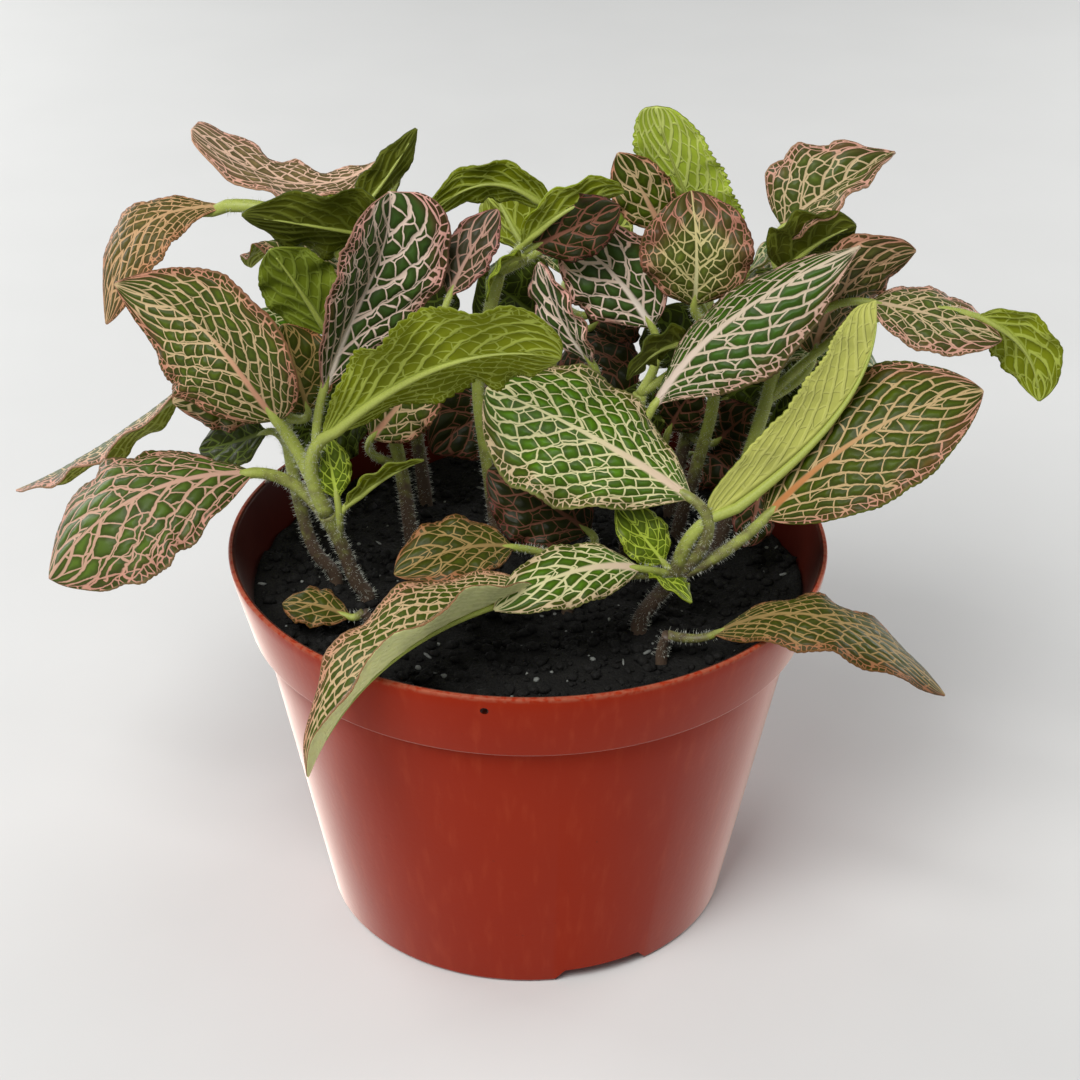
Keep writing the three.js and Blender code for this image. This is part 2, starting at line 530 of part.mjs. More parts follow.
// The small round hole through the band at the front
function pinCutter() {
  const centre = polar(RIM_RADIUS - WALL, PIN_HOLE_ANGLE, POT_HEIGHT - PIN_HOLE_BELOW_RIM);
  const punch = new THREE.CylinderGeometry(PIN_HOLE_RADIUS, PIN_HOLE_RADIUS, PIN_CUTTER_LENGTH, HOLE_SIDES);
  punch.rotateZ(Math.PI / 2).rotateZ(THREE.MathUtils.degToRad(PIN_HOLE_ANGLE));
  return toSolid(punch.translate(centre.x, centre.y, centre.z));
}

const LEDGE = POT_HEIGHT - BAND_HEIGHT;
const FLOOR_TOP = FLOOR_RISE + WALL;
const WALL_SLOPE = (WALL_TOP_RADIUS - BASE_RADIUS) / LEDGE;
const BAND_SLOPE = (RIM_RADIUS - BAND_FOOT_RADIUS) / BAND_HEIGHT;

// It stands on a narrow foot ring, with its floor raised inside that
function potMesh() {
  const profile = [
    [0, FLOOR_RISE], [BASE_RADIUS - FOOT_WIDTH - OVERCUT, FLOOR_RISE], [BASE_RADIUS - FOOT_WIDTH, 0],
    [BASE_RADIUS, 0], [WALL_TOP_RADIUS, LEDGE], [BAND_FOOT_RADIUS, LEDGE], [RIM_RADIUS, POT_HEIGHT],
    [RIM_RADIUS - WALL, POT_HEIGHT], [BAND_FOOT_RADIUS - WALL, LEDGE + WALL],
    [WALL_TOP_RADIUS - WALL, LEDGE - WALL], [BASE_RADIUS + WALL_SLOPE * FLOOR_TOP - WALL, FLOOR_TOP],
    [0, FLOOR_TOP],
  ];
  let body = toSolid(lathed(profile, POT_SIDES));
  for (let k = 0; k < NOTCHES; k += 1) body = body.subtract(notchCutter(NOTCH_ANGLE + (360 / NOTCHES) * k));
  for (let k = 0; k < DRAIN_HOLES; k += 1) body = body.subtract(drainCutter((360 / DRAIN_HOLES) * k));
  body = body.subtract(pinCutter());
  return named('pot', toGeometry(body), POT_COLOUR, POT_ROUGHNESS);
}

// The surface is uneven by about a millimetre, from a wide swell and a shorter ripple across it
function soilHeight(x, y) {
  const swell = SOIL_SWELL * Math.sin(x / SWELL_SPAN_X + 1) * Math.cos(y / SWELL_SPAN_Y);
  return SOIL_LEVEL + swell + SOIL_RIPPLE * Math.sin((x + y) / RIPPLE_SPAN);
}

// The pot's inner radius at height z, less the gap that the soil keeps to it
function soilRadius(z) {
  const outer = z < LEDGE ? BASE_RADIUS + WALL_SLOPE * z : BAND_FOOT_RADIUS + BAND_SLOPE * (z - LEDGE);
  return outer - WALL - CLEARANCE - WALL_FACET_ALLOWANCE;
}

function stemHole(shoot) {
  const [x, y] = shoot.stem[0];
  const radius = shoot.radius + CLEARANCE + HOLE_FACET_ALLOWANCE;
  const length = ROOT_DEPTH + HOLE_OVERCUT;
  const hole = new THREE.CylinderGeometry(radius, radius, length, HOLE_SIDES).rotateX(Math.PI / 2);
  return toSolid(hole.translate(x, y, SOIL_LEVEL - ROOT_DEPTH - CLEARANCE + length / 2));
}

function soilMesh() {
  const bottom = FLOOR_TOP + CLEARANCE;
  const heights = [bottom, LEDGE - LEDGE_BLEND, LEDGE + LEDGE_BLEND, SOIL_LEVEL - SOIL_EDGE_DROP];
  const side = heights.map((z) => [soilRadius(z), z]);
  const top = SOIL_RINGS.map((r) => [r, SOIL_LEVEL]);
  const turned = lathed([[0, bottom], ...side, ...top, [0, SOIL_LEVEL]], SOIL_SIDES);
  const position = turned.attributes.position;
  for (let i = 0; i < position.count; i += 1) {
    if (position.getZ(i) > SOIL_LEVEL - SOIL_EDGE_DROP / 2) {
      position.setZ(i, soilHeight(position.getX(i), position.getY(i)));
    }
  }
  let body = toSolid(turned);
  for (const shoot of Object.values(SHOOTS)) body = body.subtract(stemHole(shoot));
  return named('potting_mix', toGeometry(body), SOIL_COLOUR, SOIL_ROUGHNESS);
}

const plant = new THREE.Group();
plant.add(potMesh(), soilMesh());
for (const [name, shoot] of Object.entries(SHOOTS)) plant.add(shootMesh(name, shoot));

export default plant;
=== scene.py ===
# %% [markdown]
# # A nerve plant in its nursery pot
# A nerve plant is a low, bushy house plant. Its leaves are dark green with a fine net of cream or pink
# veins, and their undersides are a bright yellow-green. It is sold in a thin plastic pot.
# The solids that this script loads already have the right sizes and places. The cells below build a
# finer piece for each of them: waved leaves with real edges, hairy stems, crumbly soil and a moulded pot.

import math

import bmesh
import bpy
import numpy as np
from mathutils import Matrix, Vector, noise


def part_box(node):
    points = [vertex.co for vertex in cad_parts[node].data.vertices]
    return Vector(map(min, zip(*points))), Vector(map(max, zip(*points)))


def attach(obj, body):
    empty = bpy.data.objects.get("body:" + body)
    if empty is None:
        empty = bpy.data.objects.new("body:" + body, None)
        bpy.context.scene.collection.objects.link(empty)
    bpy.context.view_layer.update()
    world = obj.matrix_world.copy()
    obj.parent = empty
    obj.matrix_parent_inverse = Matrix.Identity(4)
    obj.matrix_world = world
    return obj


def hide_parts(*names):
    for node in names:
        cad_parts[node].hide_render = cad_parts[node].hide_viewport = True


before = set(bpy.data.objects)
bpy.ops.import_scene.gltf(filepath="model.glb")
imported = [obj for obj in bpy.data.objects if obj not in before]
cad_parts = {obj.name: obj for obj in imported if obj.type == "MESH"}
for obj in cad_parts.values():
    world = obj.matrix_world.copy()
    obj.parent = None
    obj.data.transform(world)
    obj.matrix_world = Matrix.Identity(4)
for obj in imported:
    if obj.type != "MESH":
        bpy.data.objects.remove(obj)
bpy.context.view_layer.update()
MM = 0.001
print("solids:", len(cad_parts))

# %% [markdown]
# ## The camera
# A product photo is taken from a little way off with a long lens, so that the pot's sides look almost
# straight. The distance, height and lens here were found by matching the outline of the pot's rim and
# base. The picture is square, so the sensor's width serves for both directions.

# %% Camera
CAMERA_TARGET = Vector((2.4, 0, 79.1)) * MM
CAMERA_DISTANCE = 520 * MM
CAMERA_ELEVATION = math.radians(29.7)
CAMERA_ROLL = 0.0062
LENS = 86.2
SENSOR = 36


def make_camera():
    data = bpy.data.cameras.new("camera")
    data.lens = LENS
    data.sensor_width = SENSOR
    camera = bpy.data.objects.new("camera", data)
    back = Vector((0, -math.cos(CAMERA_ELEVATION), math.sin(CAMERA_ELEVATION)))
    camera.location = CAMERA_TARGET + back * CAMERA_DISTANCE
    turn = (-back).to_track_quat("-Z", "Y").to_matrix() @ Matrix.Rotation(CAMERA_ROLL, 3, "Z")
    camera.rotation_euler = turn.to_euler()
    bpy.context.scene.collection.objects.link(camera)
    bpy.context.scene.camera = camera
    return camera


camera = make_camera()
print("camera at", [round(x, 3) for x in camera.location])

# %% [markdown]
# ## Light
# Thin plastic shows soft, pale streaks down both sides of the pot, and stays deep orange in the middle.
# A side that curves away mirrors what stands beside and behind it. So a large soft light stands on each
# side, a little behind the pot, and the room in front stays dim. One large light above shapes the leaves.

# %% Lights and world
LIT_POINT = Vector((0, 0, 0.09))


def soft_light(name, place, width, height, power):
    data = bpy.data.lights.new(name, "AREA")
    data.shape = "RECTANGLE"
    data.size = width
    data.size_y = height
    data.energy = power
    light = bpy.data.objects.new(name, data)
    light.location = place
    light.rotation_euler = (LIT_POINT - Vector(place)).to_track_quat("-Z", "Y").to_euler()
    bpy.context.scene.collection.objects.link(light)


ROOM_COLOUR = (0.95, 0.97, 1.0, 1)
ROOM_STRENGTH = 0.30
soft_light("top_light", (-0.30, -0.62, 0.95), 0.55, 0.55, 13.0)
soft_light("left_light", (-0.62, 0.52, 0.26), 0.6, 0.44, 4.2)
soft_light("right_light", (0.68, 0.50, 0.26), 0.5, 0.44, 4.0)
world = bpy.data.worlds.new("pale_room")
bpy.context.scene.world = world
world.use_nodes = True
world.node_tree.nodes["Background"].inputs["Color"].default_value = ROOM_COLOUR
world.node_tree.nodes["Background"].inputs["Strength"].default_value = ROOM_STRENGTH
bpy.context.scene.view_settings.view_transform = "Standard"
print("lights:", [light.name for light in bpy.data.lights])

# %% [markdown]
# ## Drawing node trees in a few words
# A material is a graph of small steps. Written out in full, every sum in it takes several lines. So here
# a node's output is wrapped as a value that Python's own signs work on, and each sign adds a Math node. A
# finish below then reads like a short list of sums.

# %% Values
class Value:
    """A node's output. A sum written with it becomes a node of the same tree."""

    def __init__(self, graph, socket):
        self.graph = graph
        self.socket = socket

    def __add__(self, other):
        return self.graph.math("ADD", self, other)

    def __sub__(self, other):
        return self.graph.math("SUBTRACT", self, other)

    def __rsub__(self, other):
        return self.graph.math("SUBTRACT", other, self)

    def __mul__(self, other):
        return self.graph.math("MULTIPLY", self, other)

    def __truediv__(self, other):
        return self.graph.math("DIVIDE", self, other)

    def __abs__(self):
        return self.graph.math("ABSOLUTE", self)

# %% A helper for node trees
class Graph:
    """Adds nodes to a tree. A number, a colour or a value can feed each input."""

    def __init__(self, tree):
        self.tree = tree

    def node(self, kind, feeds=None, **settings):
        made = self.tree.nodes.new(kind)
        for key, value in settings.items():
            setattr(made, key, value)
        for key, value in (feeds or {}).items():
            self.feed(made.inputs[key], value)
        return made

    def feed(self, socket, value):
        if isinstance(value, Value):
            self.tree.links.new(value.socket, socket)
        else:
            socket.default_value = value

    def value(self, kind, feeds=None, output=0, **settings):
        """Adds a node for the sake of one of its outputs."""
        return Value(self, self.node(kind, feeds, **settings).outputs[output])

    def values(self, node):
        return {socket.name: Value(self, socket) for socket in node.outputs}

    def math(self, operation, first, second=0.0):
        return self.value("ShaderNodeMath", {0: first, 1: second}, operation=operation)

    def most(self, first, second):
        return self.math("MAXIMUM", first, second)

    def least(self, first, second):
        return self.math("MINIMUM", first, second)

    def above(self, first, second):
        return self.math("GREATER_THAN", first, second)

    def ramp(self, value, low, high, start=0.0, end=1.0):
        feeds = {0: value, 1: low, 2: high, 3: start, 4: end}
        return self.value("ShaderNodeMapRange", feeds, interpolation_type="SMOOTHSTEP")

    def mix(self, share, first, second):
        return self.value("ShaderNodeMix", {0: share, 6: first, 7: second}, 2, data_type="RGBA")

    def attribute(self, name):
        return self.value("ShaderNodeAttribute", output="Fac", attribute_name=name)

    def vector(self, x, y, z=0.0):
        return self.value("ShaderNodeCombineXYZ", {0: x, 1: y, 2: z})

    def noise(self, vector, scale, detail=2.0):
        return self.value("ShaderNodeTexNoise", {"Vector": vector, "Scale": scale, "Detail": detail}, "Fac")

    def place_mm(self):
        place = self.value("ShaderNodeNewGeometry", output="Position")
        return self.value("ShaderNodeVectorMath", {0: place, "Scale": 1 / MM}, operation="SCALE")

# %% [markdown]
# Every finish starts from a new material with its Principled shader. Fine relief that no mesh could carry
# tilts the light through a Bump node. What many finishes share is a node group, built once.

# %% Materials and groups
def new_material(name):
    material = bpy.data.materials.new(name)
    material.use_nodes = True
    graph = Graph(material.node_tree)
    surface = material.node_tree.nodes["Principled BSDF"]
    return material, graph, surface


def relief(graph, surface, height, strength, depth):
    """Tilts the light on a surface by a height that spans this depth, in millimetres."""
    bump = graph.value("ShaderNodeBump", {"Height": height, "Strength": strength, "Distance": depth * MM})
    graph.feed(surface.inputs["Normal"], bump)


def new_group(name, inputs, outputs):
    tree = bpy.data.node_groups.new(name, "ShaderNodeTree")
    for label, value in inputs:
        socket = tree.interface.new_socket(label, in_out="INPUT", socket_type="NodeSocketFloat")
        socket.default_value = value
    for label in outputs:
        tree.interface.new_socket(label, in_out="OUTPUT", socket_type="NodeSocketFloat")
    graph = Graph(tree)
    given = graph.values(graph.node("NodeGroupInput"))
    return tree, graph, given, graph.node("NodeGroupOutput").inputs

# %% [markdown]
# ## The net of veins
# A picture of the veins would blur close up. Here each leaf carries its own coordinates: the distance
# along and across it in millimetres, the number of the side vein (fan), the distance between two side
# veins (pitch), and how near the margin it is (edge). From these, short sums give the distance to the
# nearest vein of each kind. A line is drawn where that distance is small, and stays sharp at any size.

# %% Lines and cells
def line(g, distance, thick):
    """1 on a vein of this half width and 0 beside it, with a soft step between."""
    return g.ramp(distance / thick, 0.6, 1.4, 1.0, 0.0)


def cells(g, x, y, size):
    """The distance to the border of uneven cells of about this size, and a random colour for each."""
    feeds = {"Vector": g.vector(x, y), "Scale": 1.0, "Randomness": 0.8}
    flat = dict(voronoi_dimensions="2D")
    border = g.value("ShaderNodeTexVoronoi", feeds, "Distance", feature="DISTANCE_TO_EDGE", **flat)
    owner = g.value("ShaderNodeTexVoronoi", feeds, "Color", feature="F1", **flat)
    return border * size, owner

# %% [markdown]
# ### Loops and forks
# Side veins lie where fan is a whole number. Further out each one forks, where there is room, and near
# the margin it meets its neighbours in a row of loops. Each gap between two side veins has a chance of
# its own, so the loops and forks are uneven, as on a real leaf.

# %% Loops and forks
LOOP_EDGE_AT_VEIN = 0.84
LOOP_EDGE_BETWEEN = 0.93
LOOP_SPREAD = 0.05
FORK_EDGE = 0.48
FORK_SPREAD = 0.16
FORK_RUN = 0.18
FORK_ROOM = 3.0
FAR_AWAY = 9.0


def beyond_loops(g, part, edge, chance):
    """How far outside the row of loops a point lies, as a share of the leaf's half width."""
    loop = g.ramp(g.math("PINGPONG", part, 0.5), 0.0, 0.45, LOOP_EDGE_AT_VEIN, LOOP_EDGE_BETWEEN)
    return edge - (loop - chance * LOOP_SPREAD)


def fork_distance(g, part, edge, pitch, chance):
    """The distance to a side vein's branch, or a far one where the veins stand too close to fork."""
    start = chance * FORK_SPREAD + FORK_EDGE
    forked = g.above(edge, start) * g.above(pitch, FORK_ROOM)
    branch = g.ramp(edge - start, 0.0, FORK_RUN) * 0.5
    return abs(part - branch) * pitch + (1.0 - forked) * FAR_AWAY

# %% [markdown]
# ### Cross veins
# Between two side veins, cross veins stand like the rungs of a ladder. One row of Voronoi cells gives
# the rungs, at uneven steps, and the row starts anew in each gap. Outside the loops the cells are small.

# %% Cross veins
RUNG_ALONG = 0.55
RUNG_ACROSS = 0.83
NEXT_ROW = 7.31
ROW_WIDTH = 0.95
ROW_MIDDLE = 0.42
WIDEST_ROW = 1.6
SMALL_CELL = 0.55
NEXT_LEAF = 31.0


def rungs(g, along, reach, gap, part, pitch, cell):
    """One row of cells between two side veins, with its rungs square to them."""
    ahead = along * RUNG_ALONG + reach * RUNG_ACROSS
    row = (part - 0.5) * g.least(pitch / cell, WIDEST_ROW)
    return cells(g, ahead / cell + gap * NEXT_ROW, row * ROW_WIDTH + ROW_MIDDLE, cell)


def margin_cells(g, along, across, seed, cell):
    """Small cells that follow the leaf, not its side veins."""
    size = cell * SMALL_CELL
    return cells(g, along / size + seed * NEXT_LEAF, across / size, size)[0]

# %% [markdown]
# ### The group
# Every leaf finish uses the net, so it is a node group. It puts out masks and values: all veins, the
# midrib alone, the thick veins, the place between midrib and margin, the depth between the veins, which
# sets the relief and the painted shade beside the veins, and two changes of tint, a slow one over the
# whole leaf and one from cell to cell.

# %% Vein net group
NET_INPUTS = [("Cell", 3.2), ("Width", 0.25), ("Midrib", 4.0)]
NET_OUTPUTS = ["Veins", "Rib", "Main", "Edge", "Depth", "Patch", "Tint"]
PLAIN_MARGIN = (0.955, 0.985)
OTHER_SIDE = 40.0
SEED_STEP = 9.0
DRIFT = 0.75
DRIFT_SCALE = 0.30
PATCH_SCALE = 0.13
FORK_WIDTH = 0.85
LOOP_WIDTH = 0.9


def vein_net():
    tree, g, given, out = new_group("vein_net", NET_INPUTS, NET_OUTPUTS)
    along, across, fan, edge, pitch, seed, rise = [
        g.attribute(n) for n in ("along", "across", "fan", "edge", "pitch", "seed", "rise")]
    reach = abs(across)
    half = reach / g.most(edge, 0.05)
    plane = g.vector(along, across, seed * SEED_STEP)
    drift = (g.noise(plane, DRIFT_SCALE) - 0.5) * DRIFT
    fan = fan + drift * g.ramp(reach, 0.5, 4.0)
    gap = g.math("FLOOR", fan) + g.math("SIGN", across) * OTHER_SIDE
    part = g.math("FRACT", fan)
    chance = g.value("ShaderNodeTexWhiteNoise", {"W": gap + seed}, noise_dimensions="1D")

    beyond = beyond_loops(g, part, edge, chance)
    outside = g.above(beyond, 0.0)
    side_gap = g.math("PINGPONG", part, 0.5) * pitch
    loop_gap = abs(beyond) * half
    fork_gap = fork_distance(g, part, edge, pitch, chance)
    rung_gap, tint = rungs(g, along, reach, gap, part, pitch, given["Cell"])
    small_gap = margin_cells(g, along, across, seed, given["Cell"])
    cross_gap = small_gap * outside + rung_gap * (1.0 - outside)

    inside = g.ramp(beyond, 0.0, 0.02, 1.0, 0.0)
    width = given["Width"] * g.ramp(half, 0.5, 7.0, 0.5, 1.0)
    side = line(g, side_gap, width * g.ramp(edge, 0.0, 0.8, 1.6, 1.0))
    middle = line(g, reach, given["Width"] * g.ramp(rise, 0.0, 0.8, given["Midrib"], 1.2))
    main = g.most(middle, side * inside)
    fork = line(g, fork_gap, width * FORK_WIDTH) * inside
    cross_width = width * g.ramp(g.noise(plane, 0.5), 0.35, 0.65, 0.5, 0.85)
    net = g.most(line(g, cross_gap, cross_width), line(g, loop_gap, width * LOOP_WIDTH))
    net = g.most(net, fork) * g.ramp(edge, *PLAIN_MARGIN, 1.0, 0.0)
    nearest = g.least(g.least(side_gap, cross_gap), g.least(reach, loop_gap))
    # Depth is low beside a vein. The leaf finish paints shade into the green there.
    depth = g.most(g.ramp(nearest, 0.1, 1.3), g.ramp(edge, 0.94, 0.97))
    made = (g.most(main, net), middle, main, edge, depth, g.noise(plane, PATCH_SCALE, 3.0), tint)
    for label, value in zip(NET_OUTPUTS, made):
        g.feed(out[label], value)
    return tree


VEIN_NET = vein_net()
print("vein net steps:", len(VEIN_NET.nodes))

# %% [markdown]
# ## Leaf finishes
# A leaf is satin on top. Its green is darkened beside the veins as painted shade, and is reddish only in
# the last cells before the margin. The veins are cream in the middle and pink outside, and the midrib is
# pinkest at its foot.
# Shoots differ, and leaves deep in the plant are painted darker as shade, so there are many looks, and
# picking them by name keeps the plan of the leaves short.
#
# One function makes every look from a few colours as the eye sees them, 0 to 255: the green and its rim,
# the veins inside and outside, and the midrib's foot. Width is a vein's half width and cell the mesh of
# the net, in millimetres. Midrib is how many times wider the midrib starts. Some looks also name the
# margin's colour, how far out the colours turn, or how much sooner they turn at the tip.

# %% Looks of the upper faces
def paint(red, green, blue):
    """A colour given as the eye sees it, turned into amounts of light."""
    shares = [c / 255 for c in (red, green, blue)]
    return (*[s / 12.92 if s < 0.04 else ((s + 0.055) / 1.055) ** 2.4 for s in shares], 1.0)


def paints(*colours):
    return [paint(*colour) for colour in colours]


# The colour of the painted shade in the creases beside the veins.
PAINTED_SHADE_BY_VEINS = (44, 48, 8)
TURN = 0.72
TURNED = 1.02
TIP_TURN = 0.15


def look(green, rim, vein, outer, rib, width, cell, midrib, margin=None, turn=TURN, tip=TIP_TURN):
    """One look. The margin is halfway between the rim and the outer veins where it isn't given."""
    margin = margin or [0.5 * (a + b) for a, b in zip(rim, outer)]
    return dict(green=green, rim=rim, vein=vein, outer=outer, rib=rib, width=width, cell=cell,
                midrib=midrib, margin=margin, turn=turn, tip=tip)


LOOKS = {
    "cream": look((86, 130, 12), (98, 92, 30), (210, 204, 152), (200, 176, 138), (216, 192, 164),
                  0.18, 2.4, 4.6, margin=(150, 146, 88)),
    "fine": look((90, 110, 26), (124, 88, 50), (200, 172, 130), (198, 146, 116), (206, 190, 150),
                 0.15, 1.6, 3.0),
    "ivory": look((66, 106, 18), (96, 76, 38), (202, 184, 158), (204, 164, 144), (216, 196, 180),
                  0.20, 3.1, 4.4, margin=(134, 116, 80)),
    "rosy": look((84, 102, 14), (98, 64, 32), (196, 170, 128), (190, 132, 106), (204, 150, 120),
                 0.17, 2.4, 4.2),
    "amber": look((78, 94, 8), (112, 80, 40), (190, 162, 116), (196, 142, 118), (186, 124, 72),
                  0.17, 3.1, 4.0, margin=(98, 110, 36), tip=0.3),
    "broad": look((86, 110, 34), (92, 84, 38), (196, 156, 132), (196, 142, 122), (200, 158, 136),
                  0.22, 3.3, 2.4),
    "blush": look((70, 100, 40), (104, 66, 46), (236, 210, 192), (234, 174, 160), (244, 228, 212),
                  0.21, 2.8, 3.8),
    "wine": look((70, 62, 40), (96, 52, 42), (180, 140, 122), (170, 116, 106), (186, 150, 132),
                 0.18, 2.4, 3.2),
    # Maroon is partly the leaf's own red-brown net and partly painted shade: its green is nearly black, for
    # leaves deep in the plant.
    "maroon": look((38, 42, 16), (54, 32, 22), (126, 80, 62), (112, 60, 50), (126, 82, 64),
                   0.15, 2.4, 3.6),
    "salmon": look((146, 124, 80), (168, 128, 92), (224, 186, 160), (226, 172, 150), (222, 186, 160),
                   0.17, 2.2, 3.0),
    "tan": look((116, 102, 46), (138, 98, 58), (196, 156, 112), (196, 138, 100), (192, 156, 112),
                0.15, 2.1, 3.0),
    "bronze": look((98, 98, 42), (122, 82, 50), (196, 158, 122), (194, 138, 112), (196, 150, 120),
                   0.17, 2.3, 3.8),
    "mixed": look((104, 116, 36), (102, 62, 42), (196, 182, 126), (172, 116, 96), (202, 196, 146),
                  0.15, 1.9, 3.4, turn=0.4, tip=0.7),
    "dusty": look((98, 114, 42), (124, 94, 58), (202, 178, 138), (208, 156, 136), (200, 176, 140),
                  0.16, 1.9, 3.4, turn=0.6, tip=0.4),
    "dull": look((76, 84, 14), (96, 66, 24), (158, 130, 80), (156, 104, 68), (150, 124, 76),
                 0.15, 2.2, 3.6),
    "green": look((106, 124, 28), (108, 120, 34), (160, 168, 80), (152, 156, 72), (170, 182, 90),
                  0.16, 2.5, 3.8),
    # Shade is a darker copy of the green look: painted shade for leaves that stand deep in the plant.
    "shade": look((62, 76, 12), (62, 70, 16), (96, 112, 38), (86, 96, 32), (106, 118, 46),
                  0.15, 2.5, 3.8),
    "young": look((126, 154, 24), (130, 146, 30), (174, 192, 66), (164, 178, 60), (180, 198, 78),
                  0.13, 1.8, 3.4),
}
print("looks:", len(LOOKS))

# %% [markdown]
# ### Upper faces
# Every look goes through the same steps, from the ground up to the veins. Thin leaves also let light
# through, so a part of it is passed on by a Translucent shader in the leaf's own colour.

# %% Upper faces
def thin_surface(material, graph, surface, tint, share):
    """Lets part of the light through, in the leaf's own colour."""
    gloss = Value(graph, surface.outputs[0])
    glow = graph.value("ShaderNodeBsdfTranslucent", {"Color": tint})
    both = graph.value("ShaderNodeMixShader", {0: share, 1: gloss, 2: glow})
    graph.feed(material.node_tree.nodes["Material Output"].inputs["Surface"], both)


def net_of(graph, width, cell, midrib):
    sizes = {"Width": width, "Cell": cell, "Midrib": midrib}
    return graph.values(graph.node("ShaderNodeGroup", sizes, node_tree=VEIN_NET))


def upper_colour(g, look, net):
    """The green and its rim, darker patches and cells, painted shade beside the veins, the coloured margin,
    and the veins over all.
    """
    patch = g.ramp(net["Patch"], 0.35, 0.65)
    rise = g.attribute("rise")
    outward = net["Edge"] + patch * 0.12 + g.ramp(rise, 0.4, 1.0, 0.0, look["tip"])
    outward = g.ramp(outward, look["turn"], TURNED)
    ground = g.mix(outward, *paints(look["green"], look["rim"]))
    dim = patch * 0.3 + g.ramp(net["Tint"], 0.3, 0.7, 0.5, 0.0)
    ground = g.mix(dim, ground, paint(*[0.72 * c for c in look["green"]]))
    # Painted shade: the green darkens towards each vein, where the blade dips.
    ground = g.mix(g.ramp(net["Depth"], 0.0, 1.0, 0.55, 0.0), ground, paint(*PAINTED_SHADE_BY_VEINS))
    ground = g.mix(g.ramp(net["Edge"], *PLAIN_MARGIN, 0.0, 0.7), ground, paint(*look["margin"]))
    veins = g.mix(outward, *paints(look["vein"], look["outer"]))
    rib = g.mix(g.ramp(rise, 0.1, 0.7), *paints(look["rib"], look["vein"]))
    return g.mix(net["Veins"], ground, g.mix(net["Rib"], veins, rib))


def upper_face(name, look):
    material, g, surface = new_material(f"leaf_{name}")
    net = net_of(g, look["width"], look["cell"], look["midrib"])
    finish = upper_colour(g, look, net)
    g.feed(surface.inputs["Base Color"], finish)
    g.feed(surface.inputs["Roughness"], g.ramp(net["Veins"], 0.0, 1.0, 0.46, 0.6))
    surface.inputs["Specular IOR Level"].default_value = 0.2
    relief(g, surface, net["Depth"] - net["Main"] * 0.4, 0.6, 0.25)
    thin_surface(material, g, surface, finish, 0.15)
    return material


UPPER = {name: upper_face(name, look) for name, look in LOOKS.items()}
print("upper finishes:", sorted(UPPER))

# %% [markdown]
# ### Undersides
# The underside has the same net, but paler and raised, on a yellow-green ground without the reddish
# margin. Each look is a ground, the colour of its veins, and how strongly the net shows.

# %% Undersides
UNDERSIDES = {
    "bright": ((128, 138, 18), (182, 194, 88), 0.8),
    "lime": ((188, 210, 68), (224, 234, 136), 0.8),
    "sage": ((202, 204, 104), (214, 214, 128), 0.4),
    # Pale is partly the underside's own light green and partly painted light, whitened for an underside that
    # faces down, away from the lamps.
    "pale": ((250, 255, 176), (252, 255, 196), 0.4),
    "olive": ((112, 126, 30), (136, 150, 60), 0.8),
    # Dark is painted shade, for the undersides of leaves deep in the plant.
    "dark": ((92, 98, 16), (122, 130, 48), 0.8),
}
UNDER_WIDTH = 0.2
UNDER_CELL = 2.6
UNDER_MIDRIB = 4.0


def under_face(name, ground, vein, strength):
    material, g, surface = new_material(f"underside_{name}")
    net = net_of(g, UNDER_WIDTH, UNDER_CELL, UNDER_MIDRIB)
    patchy = g.mix(g.ramp(net["Patch"], 0.35, 0.7), *paints(ground, [0.86 * c for c in ground]))
    share = g.most(net["Main"], net["Veins"] * 0.85)
    finish = g.mix(share * strength, patchy, paint(*vein))
    g.feed(surface.inputs["Base Color"], finish)
    surface.inputs["Roughness"].default_value = 0.6
    surface.inputs["Specular IOR Level"].default_value = 0.15
    relief(g, surface, net["Veins"] + net["Main"] * 0.6, 0.6, 0.25)
    thin_surface(material, g, surface, finish, 0.22)
    return material


UNDER = {name: under_face(name, *look) for name, look in UNDERSIDES.items()}
print("undersides:", sorted(UNDER))

# %% [markdown]
# ## Stems and hairs
# A stem is dark purple-brown at the soil and pale green at its tip. Each point of it carries its tone,
# 0 below and 1 above, and a streaky noise along it breaks up the colour. The hairs are nearly white.

# %% Stem and hair finishes
OLD_STEM = ((60, 44, 40), (92, 76, 56))
YOUNG_STEM = ((132, 146, 44), (170, 176, 92))
HAIR_WHITES = ((196, 204, 180), (232, 230, 220))


def stem_skin():
    material, g, surface = new_material("stem_skin")
    place = g.place_mm()
    streak = g.noise(place, 0.55, 4.0)
    fine = g.noise(place, 3.0, 2.0)
    tone = g.attribute("tone") + (streak - 0.5) * 0.7
    low = g.mix(fine, *paints(*OLD_STEM))
    high = g.mix(fine, *paints(*YOUNG_STEM))
    g.feed(surface.inputs["Base Color"], g.mix(g.ramp(tone, 0.15, 0.75), low, high))
    g.feed(surface.inputs["Roughness"], g.ramp(fine, 0.3, 0.7, 0.45, 0.62))
    relief(g, surface, fine, 0.35, 0.15)
    return material


def hair_finish():
    material, g, surface = new_material("hair")
    shade = g.noise(g.place_mm(), 1.1)
    g.feed(surface.inputs["Base Color"], g.mix(shade, *paints(*HAIR_WHITES)))
    surface.inputs["Roughness"].default_value = 0.5
    return material


STEM = stem_skin()
HAIR = hair_finish()
print("stems and hairs:", STEM.name, HAIR.name)

# %% [markdown]
# ## The plan of the leaves
# These are the same stems and leaves as in the solids, in millimetres. Each leaf is given by the stem's
# node that it grows from, three or four points of its midrib, the way its upper side faces, its width,
# how far its halves fold in degrees, and its look above and below. Full and blunt shape the base and the
# tip, wave, teeth, lobes and pleat scale the relief of the blade, and tone is how green its petiole is.

